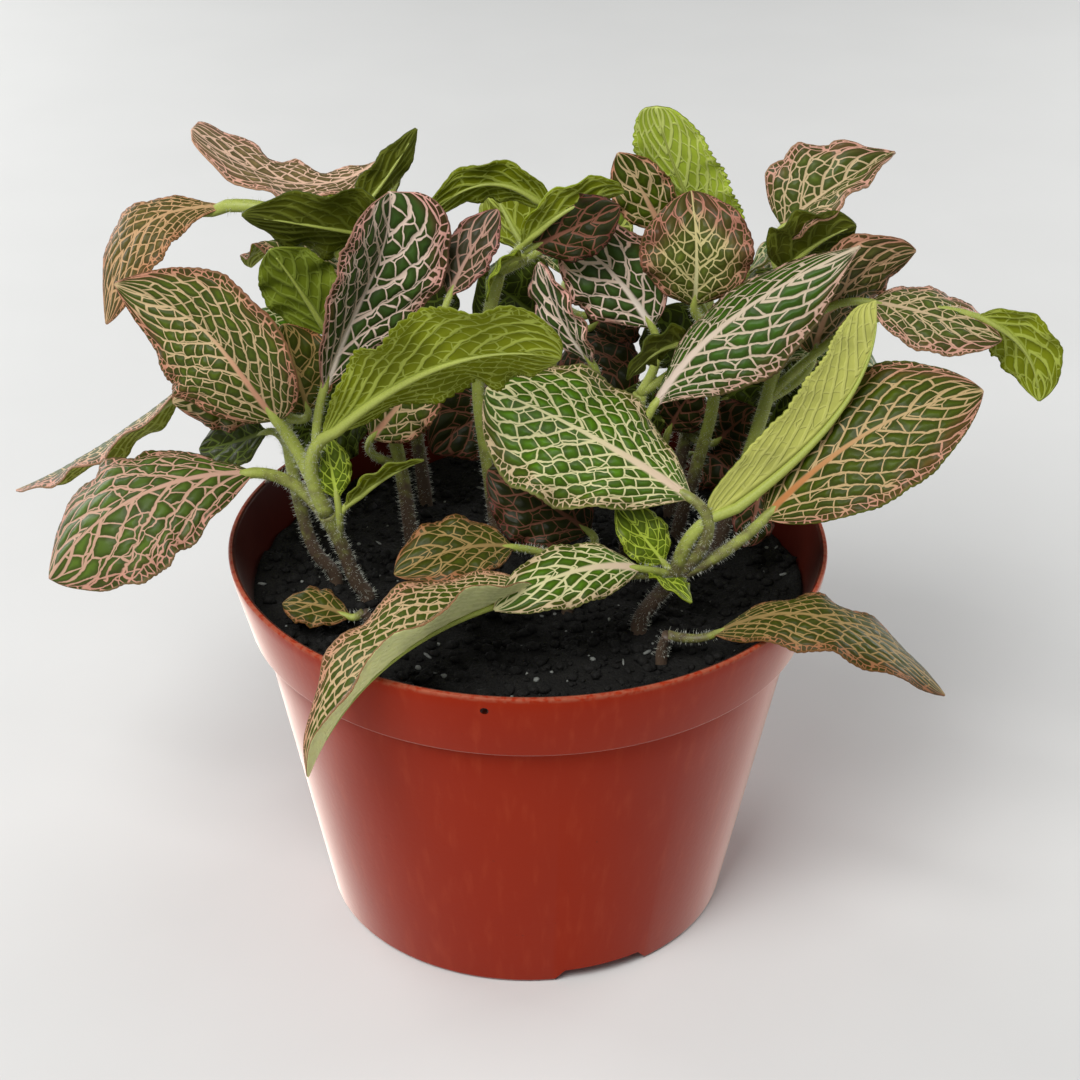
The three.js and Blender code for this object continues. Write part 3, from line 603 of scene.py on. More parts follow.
# %% Shoots
def leaf(at, rib, face, width, fold, look, below="bright", full=1.0, blunt=1.0, stalk=None, veins=None,
         wave=1.0, teeth=0.3, lobes=0.0, pleat=1.0, tone=0.85):
    """One leaf, with its petiole's radius and its side veins worked out where they aren't given."""
    rib = np.array(rib, float)
    length = np.linalg.norm(np.diff(rib, axis=0), axis=1).sum()
    return dict(at=at, rib=rib, face=np.array(face, float), width=width, length=length,
                fold=math.radians(fold), look=look, below=below, full=full, blunt=blunt,
                stalk=stalk or 0.7 + width / 90, veins=veins or float(np.clip(round(length / 5.0), 4, 9)),
                wave=wave, teeth=teeth, lobes=lobes, pleat=pleat, tone=tone)


SHOOTS = {
    "front_right_shoot": dict(stem=[[22, -20, 72], [24, -21, 77], [29, -22, 84]], radius=1.8,
        leaves=[
        leaf(2, [[31, -24, 102], [11, -17, 112], [-8, -8, 117]], [0, -6, 8],
             31, -20, "cream", full=1.3, blunt=0.8, stalk=1.2, tone=0.5),
        leaf(2, [[35, -24, 98], [58, -21, 120], [64, -15, 139]], [-6, 7, 3],
             18, 32, "green", "sage", full=0.5, blunt=0.45, wave=0.3, stalk=1.4, teeth=0.9, pleat=0.4),
        leaf(2, [[45, -24, 98], [64, -23, 116], [85, -18, 122]], [-3, -6, 7],
             27, -8, "amber", wave=0.4, stalk=1.2, tone=0.55),
        leaf(2, [[2, -36, 89], [-13, -45, 88], [-28, -56, 82], [-40, -60, 63]], [0, 3, 9],
             22, 38, "fine", "pale", veins=13),
        leaf(2, [[21, -28, 89], [8, -35, 92], [-6, -42, 88]], [0, -5, 8], 13, -10, "cream"),
        leaf(2, [[26, -22, 87], [22, -21, 92], [17, -19, 98]], [2, -8, 6], 10, 14, "young"),
        leaf(2, [[26, -26, 85], [27, -30, 87], [31, -34, 85]], [0, -3, 9], 8, 10, "young"),
    ]),
    "left_shoot": dict(stem=[[-32, -10, 72], [-34, -11, 76], [-37, -12, 86], [-39, -13, 92]], radius=1.7,
        leaves=[
        leaf(2, [[-53, -11, 100], [-75, -20, 99], [-92, -23, 83]], [-3, -5, 8],
             30, -21, "broad", full=1.25, blunt=0.85, wave=0.5, stalk=1.3, veins=6, lobes=0.6,
             tone=0.6),
        leaf(3, [[-48, -12, 112], [-56, -14, 126], [-64, -9, 132], [-78, -5, 137]], [-3, -7, 4],
             27, 8, "rosy", full=0.75, blunt=1.05, wave=0.5, stalk=1.4),
        leaf(3, [[-39, -16, 110], [-16, -27, 131], [6, -30, 134]], [-1, 9, 5],
             28, 8, "green", full=1.3, blunt=0.7, stalk=1.4, teeth=1.0, lobes=0.6, pleat=0.6),
        leaf(2, [[-35, -13, 94], [-28, -13, 100], [-20, -13, 104]], [-3, 5, 8], 9, 15, "green"),
        leaf(2, [[-37, -13, 96], [-38, -12, 102], [-39, -11, 108]], [1, -9, 3], 8, 10, "young"),
        leaf(3, [[-39, -8, 117], [-33, -6, 132], [-28, -4, 143], [-26, -3, 155]], [6, -6, 4],
             27, 22, "blush", full=1.1, blunt=0.5, wave=0.4, veins=6),
    ]),
    "left_rear_shoot": dict(stem=[[-39, -2, 72], [-43, -3, 79], [-46, -2, 92], [-48, 1, 106]], radius=1.5,
        leaves=[
        leaf(3, [[-50, -1, 109], [-59, -2, 112], [-69, -3, 111]], [-2, -9, 3], 16, -12, "rosy"),
        leaf(2, [[-52, 2, 102], [-59, 5, 98], [-66, 8, 95]], [-1, -6, 7], 12, 5, "shade", "dark"),
        leaf(3, [[-67, 1, 113], [-85, 3, 98], [-103, 5, 87]], [-3, 4, 9], 16, -20, "dusty"),
        leaf(3, [[-43, -2, 109], [-45, -2, 118], [-47, -1, 127]], [3, -9, 3], 17, 8, "dull"),
        leaf(3, [[-51, 9, 106], [-60, 17, 109], [-69, 24, 99]], [-2, 2, 9], 21, -8, "rosy"),
    ]),
    "left_back_shoot": dict(stem=[[-24, 11, 72], [-26, 11, 90], [-30, 11, 112], [-34, 11, 134]], radius=1.6,
        leaves=[
        leaf(3, [[-28, 26, 151], [-45, 20, 147], [-65, 18, 159]], [1, 0, 9],
             19, 3, "salmon", full=1.6, blunt=0.45),
        leaf(3, [[-21, 11, 139], [-36, 3, 145], [-54, 0, 149]], [0, 9, 5], 22, 5, "shade", "dark"),
        leaf(3, [[-37, 14, 140], [-29, 18, 148], [-22, 22, 158]], [-9, 6, -1], 10, 5, "shade", "dark"),
        leaf(3, [[-58, 9, 147], [-68, 8, 146], [-76, 5, 141], [-82, 5, 124]], [-2, -3, 8],
             16, -8, "tan", full=1.8, wave=0.5, stalk=1.5),
        leaf(2, [[-39, 5, 122], [-44, 2, 133], [-49, 0, 142]], [-2, 9, 3], 15, 10, "green", "olive"),
        leaf(1, [[-31, 4, 100], [-24, 0, 111], [-18, -1, 120]], [1, -8, 6], 15, 5, "rosy"),
        leaf(2, [[-24, 16, 119], [-20, 15, 126], [-17, 14, 132]], [0, -8, 4], 14, 6, "shade", "dark"),
    ]),
    "centre_shoot": dict(stem=[[-6, 8, 72], [-8, 8, 90], [-10, 8, 112], [-6, 8, 134]], radius=1.5,
        leaves=[
        leaf(2, [[-15, 0, 133], [-11, 4, 140], [-6, 8, 147]], [-5, -8, 2], 11, 10, "wine"),
        leaf(3, [[4, 20, 142], [-8, 19, 148], [-20, 18, 141]], [0, 8, 6], 12, 5, "green"),
        leaf(3, [[-1, 6, 141], [8, 5, 149], [18, 10, 150]], [-2, 7, 7], 12, 10, "young"),
        leaf(3, [[1, 7, 140], [9, 5, 145], [17, 3, 150]], [0, -9, 2], 13, 5, "maroon"),
        leaf(3, [[-2, 4, 139], [-6, 1, 138], [-8, -1, 132]], [-3, 5, 8], 11, 5, "young"),
        leaf(2, [[12, 2, 118], [6, 2, 128], [2, 4, 138]], [-8, -5, 2], 15, 5, "blush"),
    ]),
    "right_back_shoot": dict(stem=[[20, 10, 72], [21, 9, 90], [22, 8, 108]], radius=1.5,
        leaves=[
        leaf(2, [[24, 10, 122], [16, 11, 133], [6, 13, 141]], [-3, -9, 3], 20, 5, "blush"),
        leaf(2, [[30, 4, 121], [25, 1, 121], [19, -2, 116]], [-1, 9, 4], 13, 5, "shade", "dark"),
        leaf(1, [[24, -9, 114], [38, -7, 131], [62, -4, 145]], [-5, -5, 7],
             26, -34, "ivory", full=1.6, blunt=1.4, wave=0.4),
    ]),
    "right_middle_shoot": dict(stem=[[31, 17, 72], [34, 16, 86], [37, 13, 104], [36, 10, 122]], radius=1.5,
        leaves=[
        leaf(3, [[39, 24, 131], [30, 20, 147], [24, 16, 165]], [4, 9, 2],
             18, 8, "green", "lime", full=0.45, blunt=0.55, wave=0.5, teeth=0.9, pleat=0.6),
        leaf(3, [[32, 7, 128], [32, 6, 140], [31, 13, 149]], [0, -9, 3], 22, 6, "mixed"),
        leaf(3, [[26, 20, 138], [22, 20, 146], [17, 20, 154]], [-2, -8, 4], 12, 5, "rosy"),
        leaf(2, [[33, 24, 108], [29, 23, 114], [25, 22, 120]], [0, -8, 4], 16, 6, "shade", "dark"),
    ]),
    "right_shoot": dict(stem=[[38, 6, 72], [42, 6, 88], [47, 6, 108], [51, 8, 130]], radius=1.6,
        leaves=[
        leaf(2, [[56, 8, 117], [61, 5, 133], [74, 6, 140]], [2, -8, 5], 19, -8, "bronze"),
        leaf(3, [[49, 12, 142], [58, 12, 150], [70, 16, 156]], [-4, -5, 7],
             22, 32, "dusty", full=0.7, blunt=1.3),
        leaf(3, [[49, 8, 135], [55, 5, 142], [62, 4, 146]], [-2, 8, 5], 21, 5, "shade", "dark"),
        leaf(2, [[66, 4, 130], [78, 2, 128], [91, 0, 124]], [0, -3, 9], 18, -8, "dusty", wave=0.4),
        leaf(2, [[87, 4, 127], [96, 3, 121], [100, 2, 110]], [3, 9, 3], 14, 5, "green"),
        leaf(1, [[46, 3, 89], [45, 0, 84], [43, -2, 79]], [2, -9, 3], 9, 5, "maroon"),
        leaf(1, [[54, 12, 96], [66, 15, 98], [78, 18, 88]], [1, 2, 9], 22, -8, "rosy"),
    ]),
    "low_right_shoot": dict(stem=[[26, -30, 72], [27, -31, 76]], radius=1.3,
        leaves=[
        leaf(1, [[36, -32, 77], [57, -38, 84], [80, -36, 66]], [1, -2, 9], 17, -12, "dull", tone=0.5),
    ]),
    "low_left_shoot": dict(stem=[[-31, -20, 72], [-32, -20, 74]], radius=1.2,
        leaves=[
        leaf(1, [[-35, -20, 73], [-42, -19, 75], [-48, -17, 74]], [0, -3, 9], 10, -5, "dull"),
    ]),
    "front_middle_shoot": dict(stem=[[8, -12, 72], [8, -13, 76], [7, -14, 82]], radius=1.4,
        leaves=[
        leaf(2, [[-3, -22, 90], [-14, -27, 92], [-25, -31, 89]], [0, -4, 9], 15, 5, "dull"),
        leaf(2, [[12, -5, 84], [2, -4, 91], [-8, -2, 96]], [-2, -8, 6], 20, 5, "maroon"),
    ]),
    "rear_left_shoot": dict(stem=[[-22, 30, 72], [-24, 32, 88], [-28, 35, 110]], radius=1.6,
        leaves=[
        leaf(2, [[-34, 42, 116], [-47, 52, 121], [-60, 60, 112]], [-3, 3, 9], 27, 8, "rosy"),
        leaf(2, [[-42, 33, 110], [-54, 35, 113], [-66, 38, 104]], [-3, 1, 9], 25, -12, "cream"),
        leaf(2, [[-25, 42, 113], [-22, 52, 119], [-19, 63, 112]], [0, 2, 9], 26, 6, "rosy"),
        leaf(1, [[-34, 40, 90], [-46, 46, 92], [-58, 52, 80]], [-2, 3, 9], 22, -12, "bronze"),
        leaf(2, [[-31, 31, 122], [-39, 35, 132], [-49, 38, 136]], [0, 6, 7], 20, 8, "green"),
        leaf(1, [[-32, 28, 92], [-40, 24, 94], [-50, 20, 86]], [0, -7, 6], 18, 6, "shade", "dark"),
    ]),
    "rear_middle_shoot": dict(stem=[[4, 34, 72], [5, 36, 90], [6, 39, 114]], radius=1.6,
        leaves=[
        leaf(2, [[8, 47, 116], [12, 56, 120], [16, 65, 112]], [1, 3, 9], 27, -10, "cream"),
        leaf(2, [[0, 45, 122], [-6, 50, 131], [-10, 54, 138]], [2, 8, 5], 18, 8, "rosy"),
        leaf(2, [[14, 43, 110], [26, 48, 113], [36, 56, 104]], [0, 2, 9], 22, 8, "rosy"),
        leaf(1, [[-2, 43, 95], [-8, 53, 98], [-11, 63, 87]], [0, 2, 9], 24, -10, "bronze"),
        leaf(2, [[9, 40, 120], [13, 45, 127], [18, 52, 130]], [0, -3, 9], 18, 6, "green"),
        leaf(0, [[9, 43, 83], [15, 53, 87], [20, 63, 83]], [0, 1, 9], 18, 8, "rosy"),
        leaf(2, [[2, 30, 114], [-4, 24, 122], [-10, 20, 128]], [0, -8, 4], 20, 6, "shade", "dark"),
        leaf(2, [[10, 32, 110], [14, 27, 104], [17, 24, 95]], [0, -8, 5], 18, -6, "maroon", "dark"),
        leaf(1, [[-4, 30, 92], [-12, 27, 92], [-20, 24, 86]], [0, -8, 4], 18, 6, "maroon", "dark"),
        leaf(2, [[13, 31, 112], [18, 26, 118], [23, 22, 120]], [0, -8, 4], 15, 6, "maroon", "dark"),
    ]),
    "rear_right_shoot": dict(stem=[[30, 28, 72], [33, 30, 88], [38, 33, 112]], radius=1.6,
        leaves=[
        leaf(2, [[48, 38, 117], [59, 47, 122], [70, 56, 112]], [2, 3, 9], 26, -10, "rosy"),
        leaf(1, [[48, 28, 104], [62, 28, 109], [76, 28, 96]], [3, 0, 9], 24, 8, "cream"),
        leaf(1, [[38, 42, 100], [42, 52, 103], [46, 62, 92]], [1, 3, 9], 25, -10, "bronze"),
        leaf(2, [[34, 42, 124], [30, 48, 135], [27, 53, 144]], [2, 9, 3], 18, 8, "rosy"),
        leaf(2, [[45, 36, 122], [55, 38, 129], [66, 40, 128]], [-2, 2, 9], 20, 6, "cream"),
        leaf(1, [[28, 24, 94], [24, 20, 98], [19, 17, 104]], [2, -8, 3], 16, 6, "shade", "dark"),
        leaf(2, [[43, 27, 117], [49, 21, 120], [56, 16, 117]], [0, -8, 5], 18, 6, "shade", "dark"),
        leaf(1, [[39, 29, 95], [45, 26, 101], [52, 23, 101]], [0, -8, 4], 20, 6, "shade", "dark"),
        leaf(0, [[34, 32, 82], [39, 27, 84], [44, 22, 80]], [0, -7, 5], 16, 6, "maroon", "dark"),
        leaf(1, [[39, 23, 90], [42, 20, 95], [46, 18, 100]], [0, -8, 4], 14, 6, "maroon", "dark"),
        leaf(1, [[50, 26, 98], [54, 24, 104], [58, 22, 109]], [0, -8, 4], 16, -6, "shade", "dark"),
        leaf(0, [[29, 24, 92], [31, 22, 98], [34, 20, 104]], [0, -8, 4], 14, 6, "maroon", "dark"),
        leaf(1, [[48, 25, 90], [50, 24, 95], [52, 23, 101]], [0, -8, 4], 13, 6, "shade", "dark"),
    ]),
}
print("shoots:", len(SHOOTS), "leaves:", sum(len(s["leaves"]) for s in SHOOTS.values()))

# %% [markdown]
# ## A piece with many parts
# A shoot's stem, leaves and hairs grow as one piece, so they go into one mesh. This collects points,
# faces, materials and the values that the finishes read, and makes the mesh at the end.

# %% Mesh builder
VALUES = ("along", "across", "fan", "edge", "pitch", "seed", "rise", "tone")


class Builder:
    """Collects one piece in millimetres and makes its mesh in metres."""

    def __init__(self):
        self.points = []
        self.faces = []
        self.numbers = []
        self.materials = []
        self.values = {name: [] for name in VALUES}
        self.count = 0

    def add(self, points, groups, **values):
        """Adds points, in millimetres, and groups of faces: a material, and rows that number the points."""
        points = np.asarray(points, float).reshape(-1, 3)
        for material, faces in groups:
            if material not in self.materials:
                self.materials.append(material)
            self.faces += (np.asarray(faces) + self.count).tolist()
            self.numbers += [self.materials.index(material)] * len(faces)
        self.points.append(points)
        for name in VALUES:
            value = np.asarray(values.get(name, 0.0), float).ravel()
            self.values[name].append(np.broadcast_to(value, len(points)))
        self.count += len(points)

    def piece(self, name, node):
        mesh = bpy.data.meshes.new(name)
        mesh.from_pydata((np.concatenate(self.points) * MM).tolist(), [], self.faces)
        for material in self.materials:
            mesh.materials.append(material)
        mesh.polygons.foreach_set("material_index", self.numbers)
        mesh.polygons.foreach_set("use_smooth", [True] * len(self.faces))
        for key, parts in self.values.items():
            attribute = mesh.attributes.new(key, "FLOAT", "POINT")
            attribute.data.foreach_set("value", np.concatenate(parts).astype(np.float32))
        mesh.update()
        return settle(bpy.data.objects.new(name, mesh), node)


def settle(made, node):
    """Puts a finished piece in the scene, in the place of its solid."""
    if made.name not in bpy.context.scene.collection.objects:
        bpy.context.scene.collection.objects.link(made)
    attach(made, "root")
    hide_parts(node)
    return made


def triangles(made):
    return sum(len(p.vertices) - 2 for p in made.data.polygons)


def strip(rows, columns):
    """Four-sided faces over a grid of points."""
    i, j = np.meshgrid(np.arange(rows - 1), np.arange(columns - 1), indexing="ij")
    a = (i * columns + j).ravel()
    return np.stack([a, a + columns, a + columns + 1, a + 1], axis=1)


def rings_closed(rows, around):
    """Faces over rings of points, where the two points after the rings close the first and the last."""
    first = np.arange(rows - 1)[:, None] * around
    here = np.arange(around)
    ahead = (here + 1) % around
    walls = np.stack([first + here, first + around + here, first + around + ahead, first + ahead], axis=-1)
    top = (rows - 1) * around
    start, end = rows * around, rows * around + 1
    start_cap = np.stack([here, ahead, np.full(around, start)], axis=1)
    end_cap = np.stack([top + ahead, top + here, np.full(around, end)], axis=1)
    return walls.reshape(-1, 4), np.concatenate([start_cap, end_cap])

# %% [markdown]
# ## Curves that carry a frame
# A leaf or a stem needs, at each point of its curve, the direction ahead and a sideways direction that
# doesn't spin. Each sideways direction is the last one, squared up to the curve again.

# %% Curves
def along_points(points, u):
    """The smooth curve through evenly spaced points, by Lagrange's formula."""
    last = len(points) - 1
    result = np.zeros((len(u), 3))
    for i, point in enumerate(points):
        weight = np.ones(len(u))
        for j in range(last + 1):
            if j != i:
                weight *= (u * last - j) / (i - j)
        result += weight[:, None] * point
    return result


def unit(vectors):
    return vectors / np.maximum(np.linalg.norm(vectors, axis=-1, keepdims=True), 1e-9)


def arc(start, corner, end, steps):
    """A curve that sets out towards a corner and bends over to its end before it gets there."""
    t = np.linspace(0, 1, steps)[:, None]
    return (1 - t) ** 2 * start + 2 * t * (1 - t) * corner + t ** 2 * end


def frames(points, facing):
    """Directions ahead, up and across at each point of a curve."""
    ahead = unit(np.gradient(points, axis=0))
    up = np.zeros_like(points)
    for i, direction in enumerate(ahead):
        facing = facing - direction * np.dot(facing, direction)
        facing = facing / np.linalg.norm(facing)
        up[i] = facing
    return ahead, up, np.cross(ahead, up)


def tube(builder, points, radii, facing, sides, material, tone):
    """A round rod along a curve, closed at both ends."""
    _, up, across = frames(points, facing)
    angles = (np.arange(sides) * 2 * math.pi / sides)[None, :, None]
    outward = np.cos(angles) * across[:, None] + np.sin(angles) * up[:, None]
    rings = points[:, None] + radii[:, None, None] * outward
    walls, caps = rings_closed(len(points), sides)
    rings = np.vstack([rings.reshape(-1, 3), points[0], points[-1]])
    tone = np.append(np.repeat(tone, sides), tone[[0, -1]])
    builder.add(rings, [(material, walls), (material, caps)], tone=tone)

# %% [markdown]
# ## A leaf's blade
# The outline comes from two powers, one for the base and one for the tip. The surface then gets the fold
# along the midrib, a slow ruffle, small pleats between the side veins, and lobes and teeth at the margin.
# All of it is real shape, so the outline and the shadows follow it.

# %% Blade shape
ROW_STEP = 0.5
COLUMN_STEP = 0.72
BASE_POWER = 0.7
TIP_POWER = 0.75
LEAST_AT_BASE = 0.9
LEAST_TAPER = 0.6
THICKNESS = 0.44
THIN_MARGIN = 0.45
RUFFLE_HEIGHT = 0.06
RUFFLES = 3.5
FINE_RUFFLE_HEIGHT = 0.008
FINE_RUFFLES = 9.3
ARCH = 0.05
PLEAT = 0.42
PLEAT_FULL_WIDTH = 18
RIDGE = 0.22
RIDGE_WIDTH = 0.45
TOOTH_LENGTH = 1.7
LOBE_LENGTH = 9.0
SWEEP = 0.52
SWEEP_POWER = 1.2
HALVES_APART = 0.41


def half_width(item, u):
    """Half of the blade's width, at each share u of the way from its base to its tip."""
    base = BASE_POWER * item["full"]
    tip = TIP_POWER * item["blunt"]
    widest = base / (base + tip)
    peak = widest ** base * (1 - widest) ** tip
    outline = u ** base * (1 - u) ** tip / peak
    return np.maximum(item["width"] / 2 * outline, LEAST_AT_BASE - LEAST_TAPER * u)


class Blade:
    """One blade as a grid: rows from base to tip (u), columns from one margin to the other (v)."""

    def __init__(self, item):
        rows = max(16, round(item["length"] / ROW_STEP))
        columns = 2 * max(5, round(item["width"] / COLUMN_STEP / 2))
        self.item = item
        self.u = np.linspace(0, 1, rows + 1)[:, None]
        self.v = np.linspace(-1, 1, columns + 1)[None, :]
        self.edge = np.abs(self.v)
        self.half = half_width(item, self.u)
        self.swell = np.sin(math.pi * self.u)
        self.phase = item["width"] + item["rib"][0][0] + np.where(self.v < 0, 2, 0)

    def waves(self, count, turn=1.0):
        return np.sin(2 * math.pi * count * self.u + turn * self.phase)

    def veins(self):
        """The number of the side vein at each point, and the distance between side veins there."""
        count = self.item["veins"]
        fan = count * (self.u - SWEEP * self.edge ** SWEEP_POWER) + HALVES_APART * (self.v > 0)
        slope = count * SWEEP * SWEEP_POWER * np.maximum(self.edge, 0.05) ** (SWEEP_POWER - 1)
        slope = slope / np.maximum(self.half, 0.5)
        return fan, 1 / np.sqrt((count / self.item["length"]) ** 2 + slope ** 2)

    def lift(self, fan):
        """How far each point stands up from flat, by the fold, the ruffles, the pleats and an arch."""
        item, edge = self.item, self.edge
        ruffle = item["wave"] * RUFFLE_HEIGHT * item["width"] * edge ** 2 * self.waves(RUFFLES)
        fine = FINE_RUFFLE_HEIGHT * item["width"] * edge ** 4 * self.waves(FINE_RUFFLES, 1.7)
        pleats = (0.5 - 0.5 * np.cos(2 * math.pi * fan)) * np.minimum(edge * 4, 1) * (1 - edge ** 5)
        pleats = item["pleat"] * PLEAT * pleats * min(1.0, item["width"] / PLEAT_FULL_WIDTH)
        arch = ARCH * self.half * np.sin(math.pi * edge)
        lift = edge * self.half * math.sin(item["fold"]) + (ruffle + fine) * self.swell
        return lift + (pleats + arch) * self.swell ** 0.6

    def reach(self):
        """How far each point lies beside the midrib, with the teeth and lobes of the margin."""
        item, edge = self.item, self.edge
        teeth = np.abs(np.sin(math.pi * self.u * item["length"] / TOOTH_LENGTH)) - 0.6
        lobes = self.waves(item["length"] / LOBE_LENGTH)
        margin = item["teeth"] * teeth * edge ** 8 + item["lobes"] * lobes * edge ** 3
        return self.v * (self.half * math.cos(item["fold"]) + margin * self.swell)

    def depths(self, fan, pitch):
        """How far the two faces lie from the middle. The lower one has a ridge under each side vein."""
        upper = THICKNESS / 2 * (1 - THIN_MARGIN * self.edge ** 6)
        away = np.abs(fan - np.round(fan)) * pitch
        ridge = RIDGE * np.exp(-(away / RIDGE_WIDTH) ** 2) * (1 - self.edge ** 3) * self.swell ** 0.6
        return upper, upper + self.item["pleat"] * ridge

# %% [markdown]
# Two grids of points, one for each face, and a strip round their rim make a closed sheet. Each point also
# gets the values that the vein net reads.

# %% Blades
def sheet_faces(rows, columns):
    """Faces of the first grid, of the second, and of the rim between them."""
    grid = np.arange(rows * columns).reshape(rows, columns)
    loop = np.concatenate([grid[0], grid[1:, -1], grid[-1, -2::-1], grid[-2:0:-1, 0]])
    ahead = np.roll(loop, -1)
    rim = np.stack([loop, loop + grid.size, ahead + grid.size, ahead], axis=1)
    faces = strip(rows, columns)
    return faces[:, ::-1], faces + grid.size, rim


def blade(builder, item, seed):
    grid = Blade(item)
    spine = along_points(item["rib"], grid.u.ravel())
    _, up, across = frames(spine, item["face"])
    fan, pitch = grid.veins()
    reach = grid.reach()
    middle = spine[:, None] + reach[..., None] * across[:, None] + grid.lift(fan)[..., None] * up[:, None]
    normal = unit(np.cross(np.gradient(middle, axis=1), np.gradient(middle, axis=0)))
    normal = np.where((normal * up[:, None]).sum(-1, keepdims=True) < 0, -normal, normal)
    upper, lower = grid.depths(fan, pitch)
    sheets = [middle + upper[..., None] * normal, middle - lower[..., None] * normal]
    values = dict(along=grid.u * item["length"], across=reach, fan=fan, edge=grid.edge, pitch=pitch,
                  seed=seed, rise=grid.u)
    flat = {k: np.tile(np.broadcast_to(x, fan.shape).ravel(), 2) for k, x in values.items()}
    top, below, rim = sheet_faces(*fan.shape)
    skin = UPPER[item["look"]]
    builder.add(np.array(sheets), [(skin, top), (UNDER[item["below"]], below), (skin, rim)], **flat)
    return spine, up

# %% [markdown]
# ## Petioles, midribs and stems
# The petiole bends out of the stem and runs on as the midrib, a ridge under the blade that thins towards
# the tip. So one tapered rod makes both, sunk into the underside. A stem swells a little at its top node.

# %% Rods
PETIOLE_SIDES = 9
PETIOLE_STEPS = 14
PETIOLE_FOOT = 1.15
PETIOLE_TAPER = 0.3
SINK_STEPS = 7
RIB_END = 0.9
RIB_TIP = 0.16
RIB_POWER = 1.3
STEM_SIDES = 14
STEM_STEPS = 9
BURIED_FROM = 46
BURIED_TO = 66
STEM_TAPER = 0.2
NODE_SWELL = 0.22
NODE_LENGTH = 0.05
STEM_FACING = np.array([1.0, 0.3, 0.2])
BROWN_UP_TO = 74
GREEN_FROM = 100
STEM_TONE = 0.7
FOOT_TONE = 0.3


def tone_at(height):
    """How far a stem has turned from purple-brown to green, at a height above the table."""
    return np.clip((height - BROWN_UP_TO) / (GREEN_FROM - BROWN_UP_TO), 0, 1) * STEM_TONE


def petiole(builder, item, start, spine, up):
    """The petiole and the midrib of one leaf, and the part of them that carries hairs."""
    base = spine[0]
    bend = base - unit(spine[1] - base) * 0.5 * np.linalg.norm(base - start)
    lead = arc(start, bend, base, PETIOLE_STEPS)
    end = int(len(spine) * RIB_END)
    first = item["stalk"] * (PETIOLE_FOOT - PETIOLE_TAPER * np.linspace(0, 1, PETIOLE_STEPS))
    rest = RIB_TIP + (first[-1] - RIB_TIP) * (1 - np.linspace(0, 1, end)[1:]) ** RIB_POWER
    sink = rest / math.cos(item["fold"]) * np.minimum(np.arange(1, end) / SINK_STEPS, 1)
    path = np.vstack([lead, spine[1:end] - up[1:end] * sink[:, None]])
    tone = np.full(len(path), item["tone"])
    foot = max(tone_at(start[2]), FOOT_TONE)
    tone[:PETIOLE_STEPS] = np.linspace(foot, item["tone"], PETIOLE_STEPS)
    tube(builder, path, np.concatenate([first, rest]), item["face"], PETIOLE_SIDES, STEM, tone)
    return lead, first


def stem(builder, shoot):
    """The stem of a shoot, which starts well down in the mix."""
    x, y = shoot["stem"][0][:2]
    curve = catmull(np.array([(x, y, BURIED_FROM), (x, y, BURIED_TO), *shoot["stem"]], float), STEM_STEPS)
    t = np.linspace(0, 1, len(curve))
    swell = 1 + NODE_SWELL * np.exp(-((t - 1) / NODE_LENGTH) ** 2)
    radii = shoot["radius"] * (1 - STEM_TAPER * t) * swell
    tube(builder, curve, radii, STEM_FACING, STEM_SIDES, STEM, tone_at(curve[:, 2]))
    return curve, radii


def catmull(points, steps):
    """A smooth curve through every point."""
    before = np.vstack([2 * points[0] - points[1], points, 2 * points[-1] - points[-2]])
    t = np.linspace(0, 1, steps, endpoint=False)[:, None]
    parts = []
    for a, b, c, d in zip(before, before[1:], before[2:], before[3:]):
        parts.append(0.5 * (2 * b + (c - a) * t + (2 * a - 5 * b + 4 * c - d) * t ** 2
                            + (3 * b - a - 3 * c + d) * t ** 3))
    return np.vstack([*parts, points[-1:]])

# %% [markdown]
# ## Hairs
# Fine white hairs stand out from stems and petioles and catch the light. Hair curves wouldn't survive an
# export, so each one is a thin three-sided cone of real mesh. A seeded draw places them.

# %% Hairs
HAIRS_PER_MM2 = 2.3
HAIR_LENGTH = 0.85
HAIR_RADIUS = 0.036
HAIR_SHORTEST = 0.55
HAIR_SPREAD = 0.8
HAIR_TANGLE = 0.45
HAIR_LEAN = 0.15
HAIR_ROOT = 0.95
HAIRS_FROM = 71
HAIR_FACING = np.array([0.3, 0.2, 1.0])


def hairs(builder, curve, radii, rng):
    """Cones all over a rod, as many to each stretch of it as its area asks."""
    steps = np.linalg.norm(np.diff(curve, axis=0), axis=1)
    ahead, up, across = frames(curve, HAIR_FACING)
    area = math.pi * (radii[1:] + radii[:-1]) * steps * (curve[1:, 2] > HAIRS_FROM)
    count = int(area.sum() * HAIRS_PER_MM2)
    if count == 0:
        return
    at = rng.choice(len(area), count, p=area / area.sum())
    share = rng.random(count)[:, None]
    turn = rng.random(count)[:, None] * 2 * math.pi
    middle = curve[at] * (1 - share) + curve[at + 1] * share
    outward = np.cos(turn) * across[at] + np.sin(turn) * up[at]
    root = middle + outward * radii[at][:, None] * HAIR_ROOT
    lean = unit(outward + HAIR_TANGLE * (rng.random((count, 3)) - 0.5) + HAIR_LEAN * ahead[at])
    tip = root + lean * HAIR_LENGTH * (HAIR_SHORTEST + HAIR_SPREAD * rng.random(count))[:, None]
    side = unit(np.cross(lean, ahead[at])) * HAIR_RADIUS
    third = unit(np.cross(lean, side)) * HAIR_RADIUS
    foot = [root + side, root - 0.5 * side + 0.87 * third, root - 0.5 * side - 0.87 * third]
    first = (np.arange(count) * 4)[:, None]
    faces = np.concatenate([first + [0, 1, 3], first + [1, 2, 3], first + [2, 0, 3], first + [0, 2, 1]])
    builder.add(np.stack([*foot, tip], axis=1), [(HAIR, faces)])

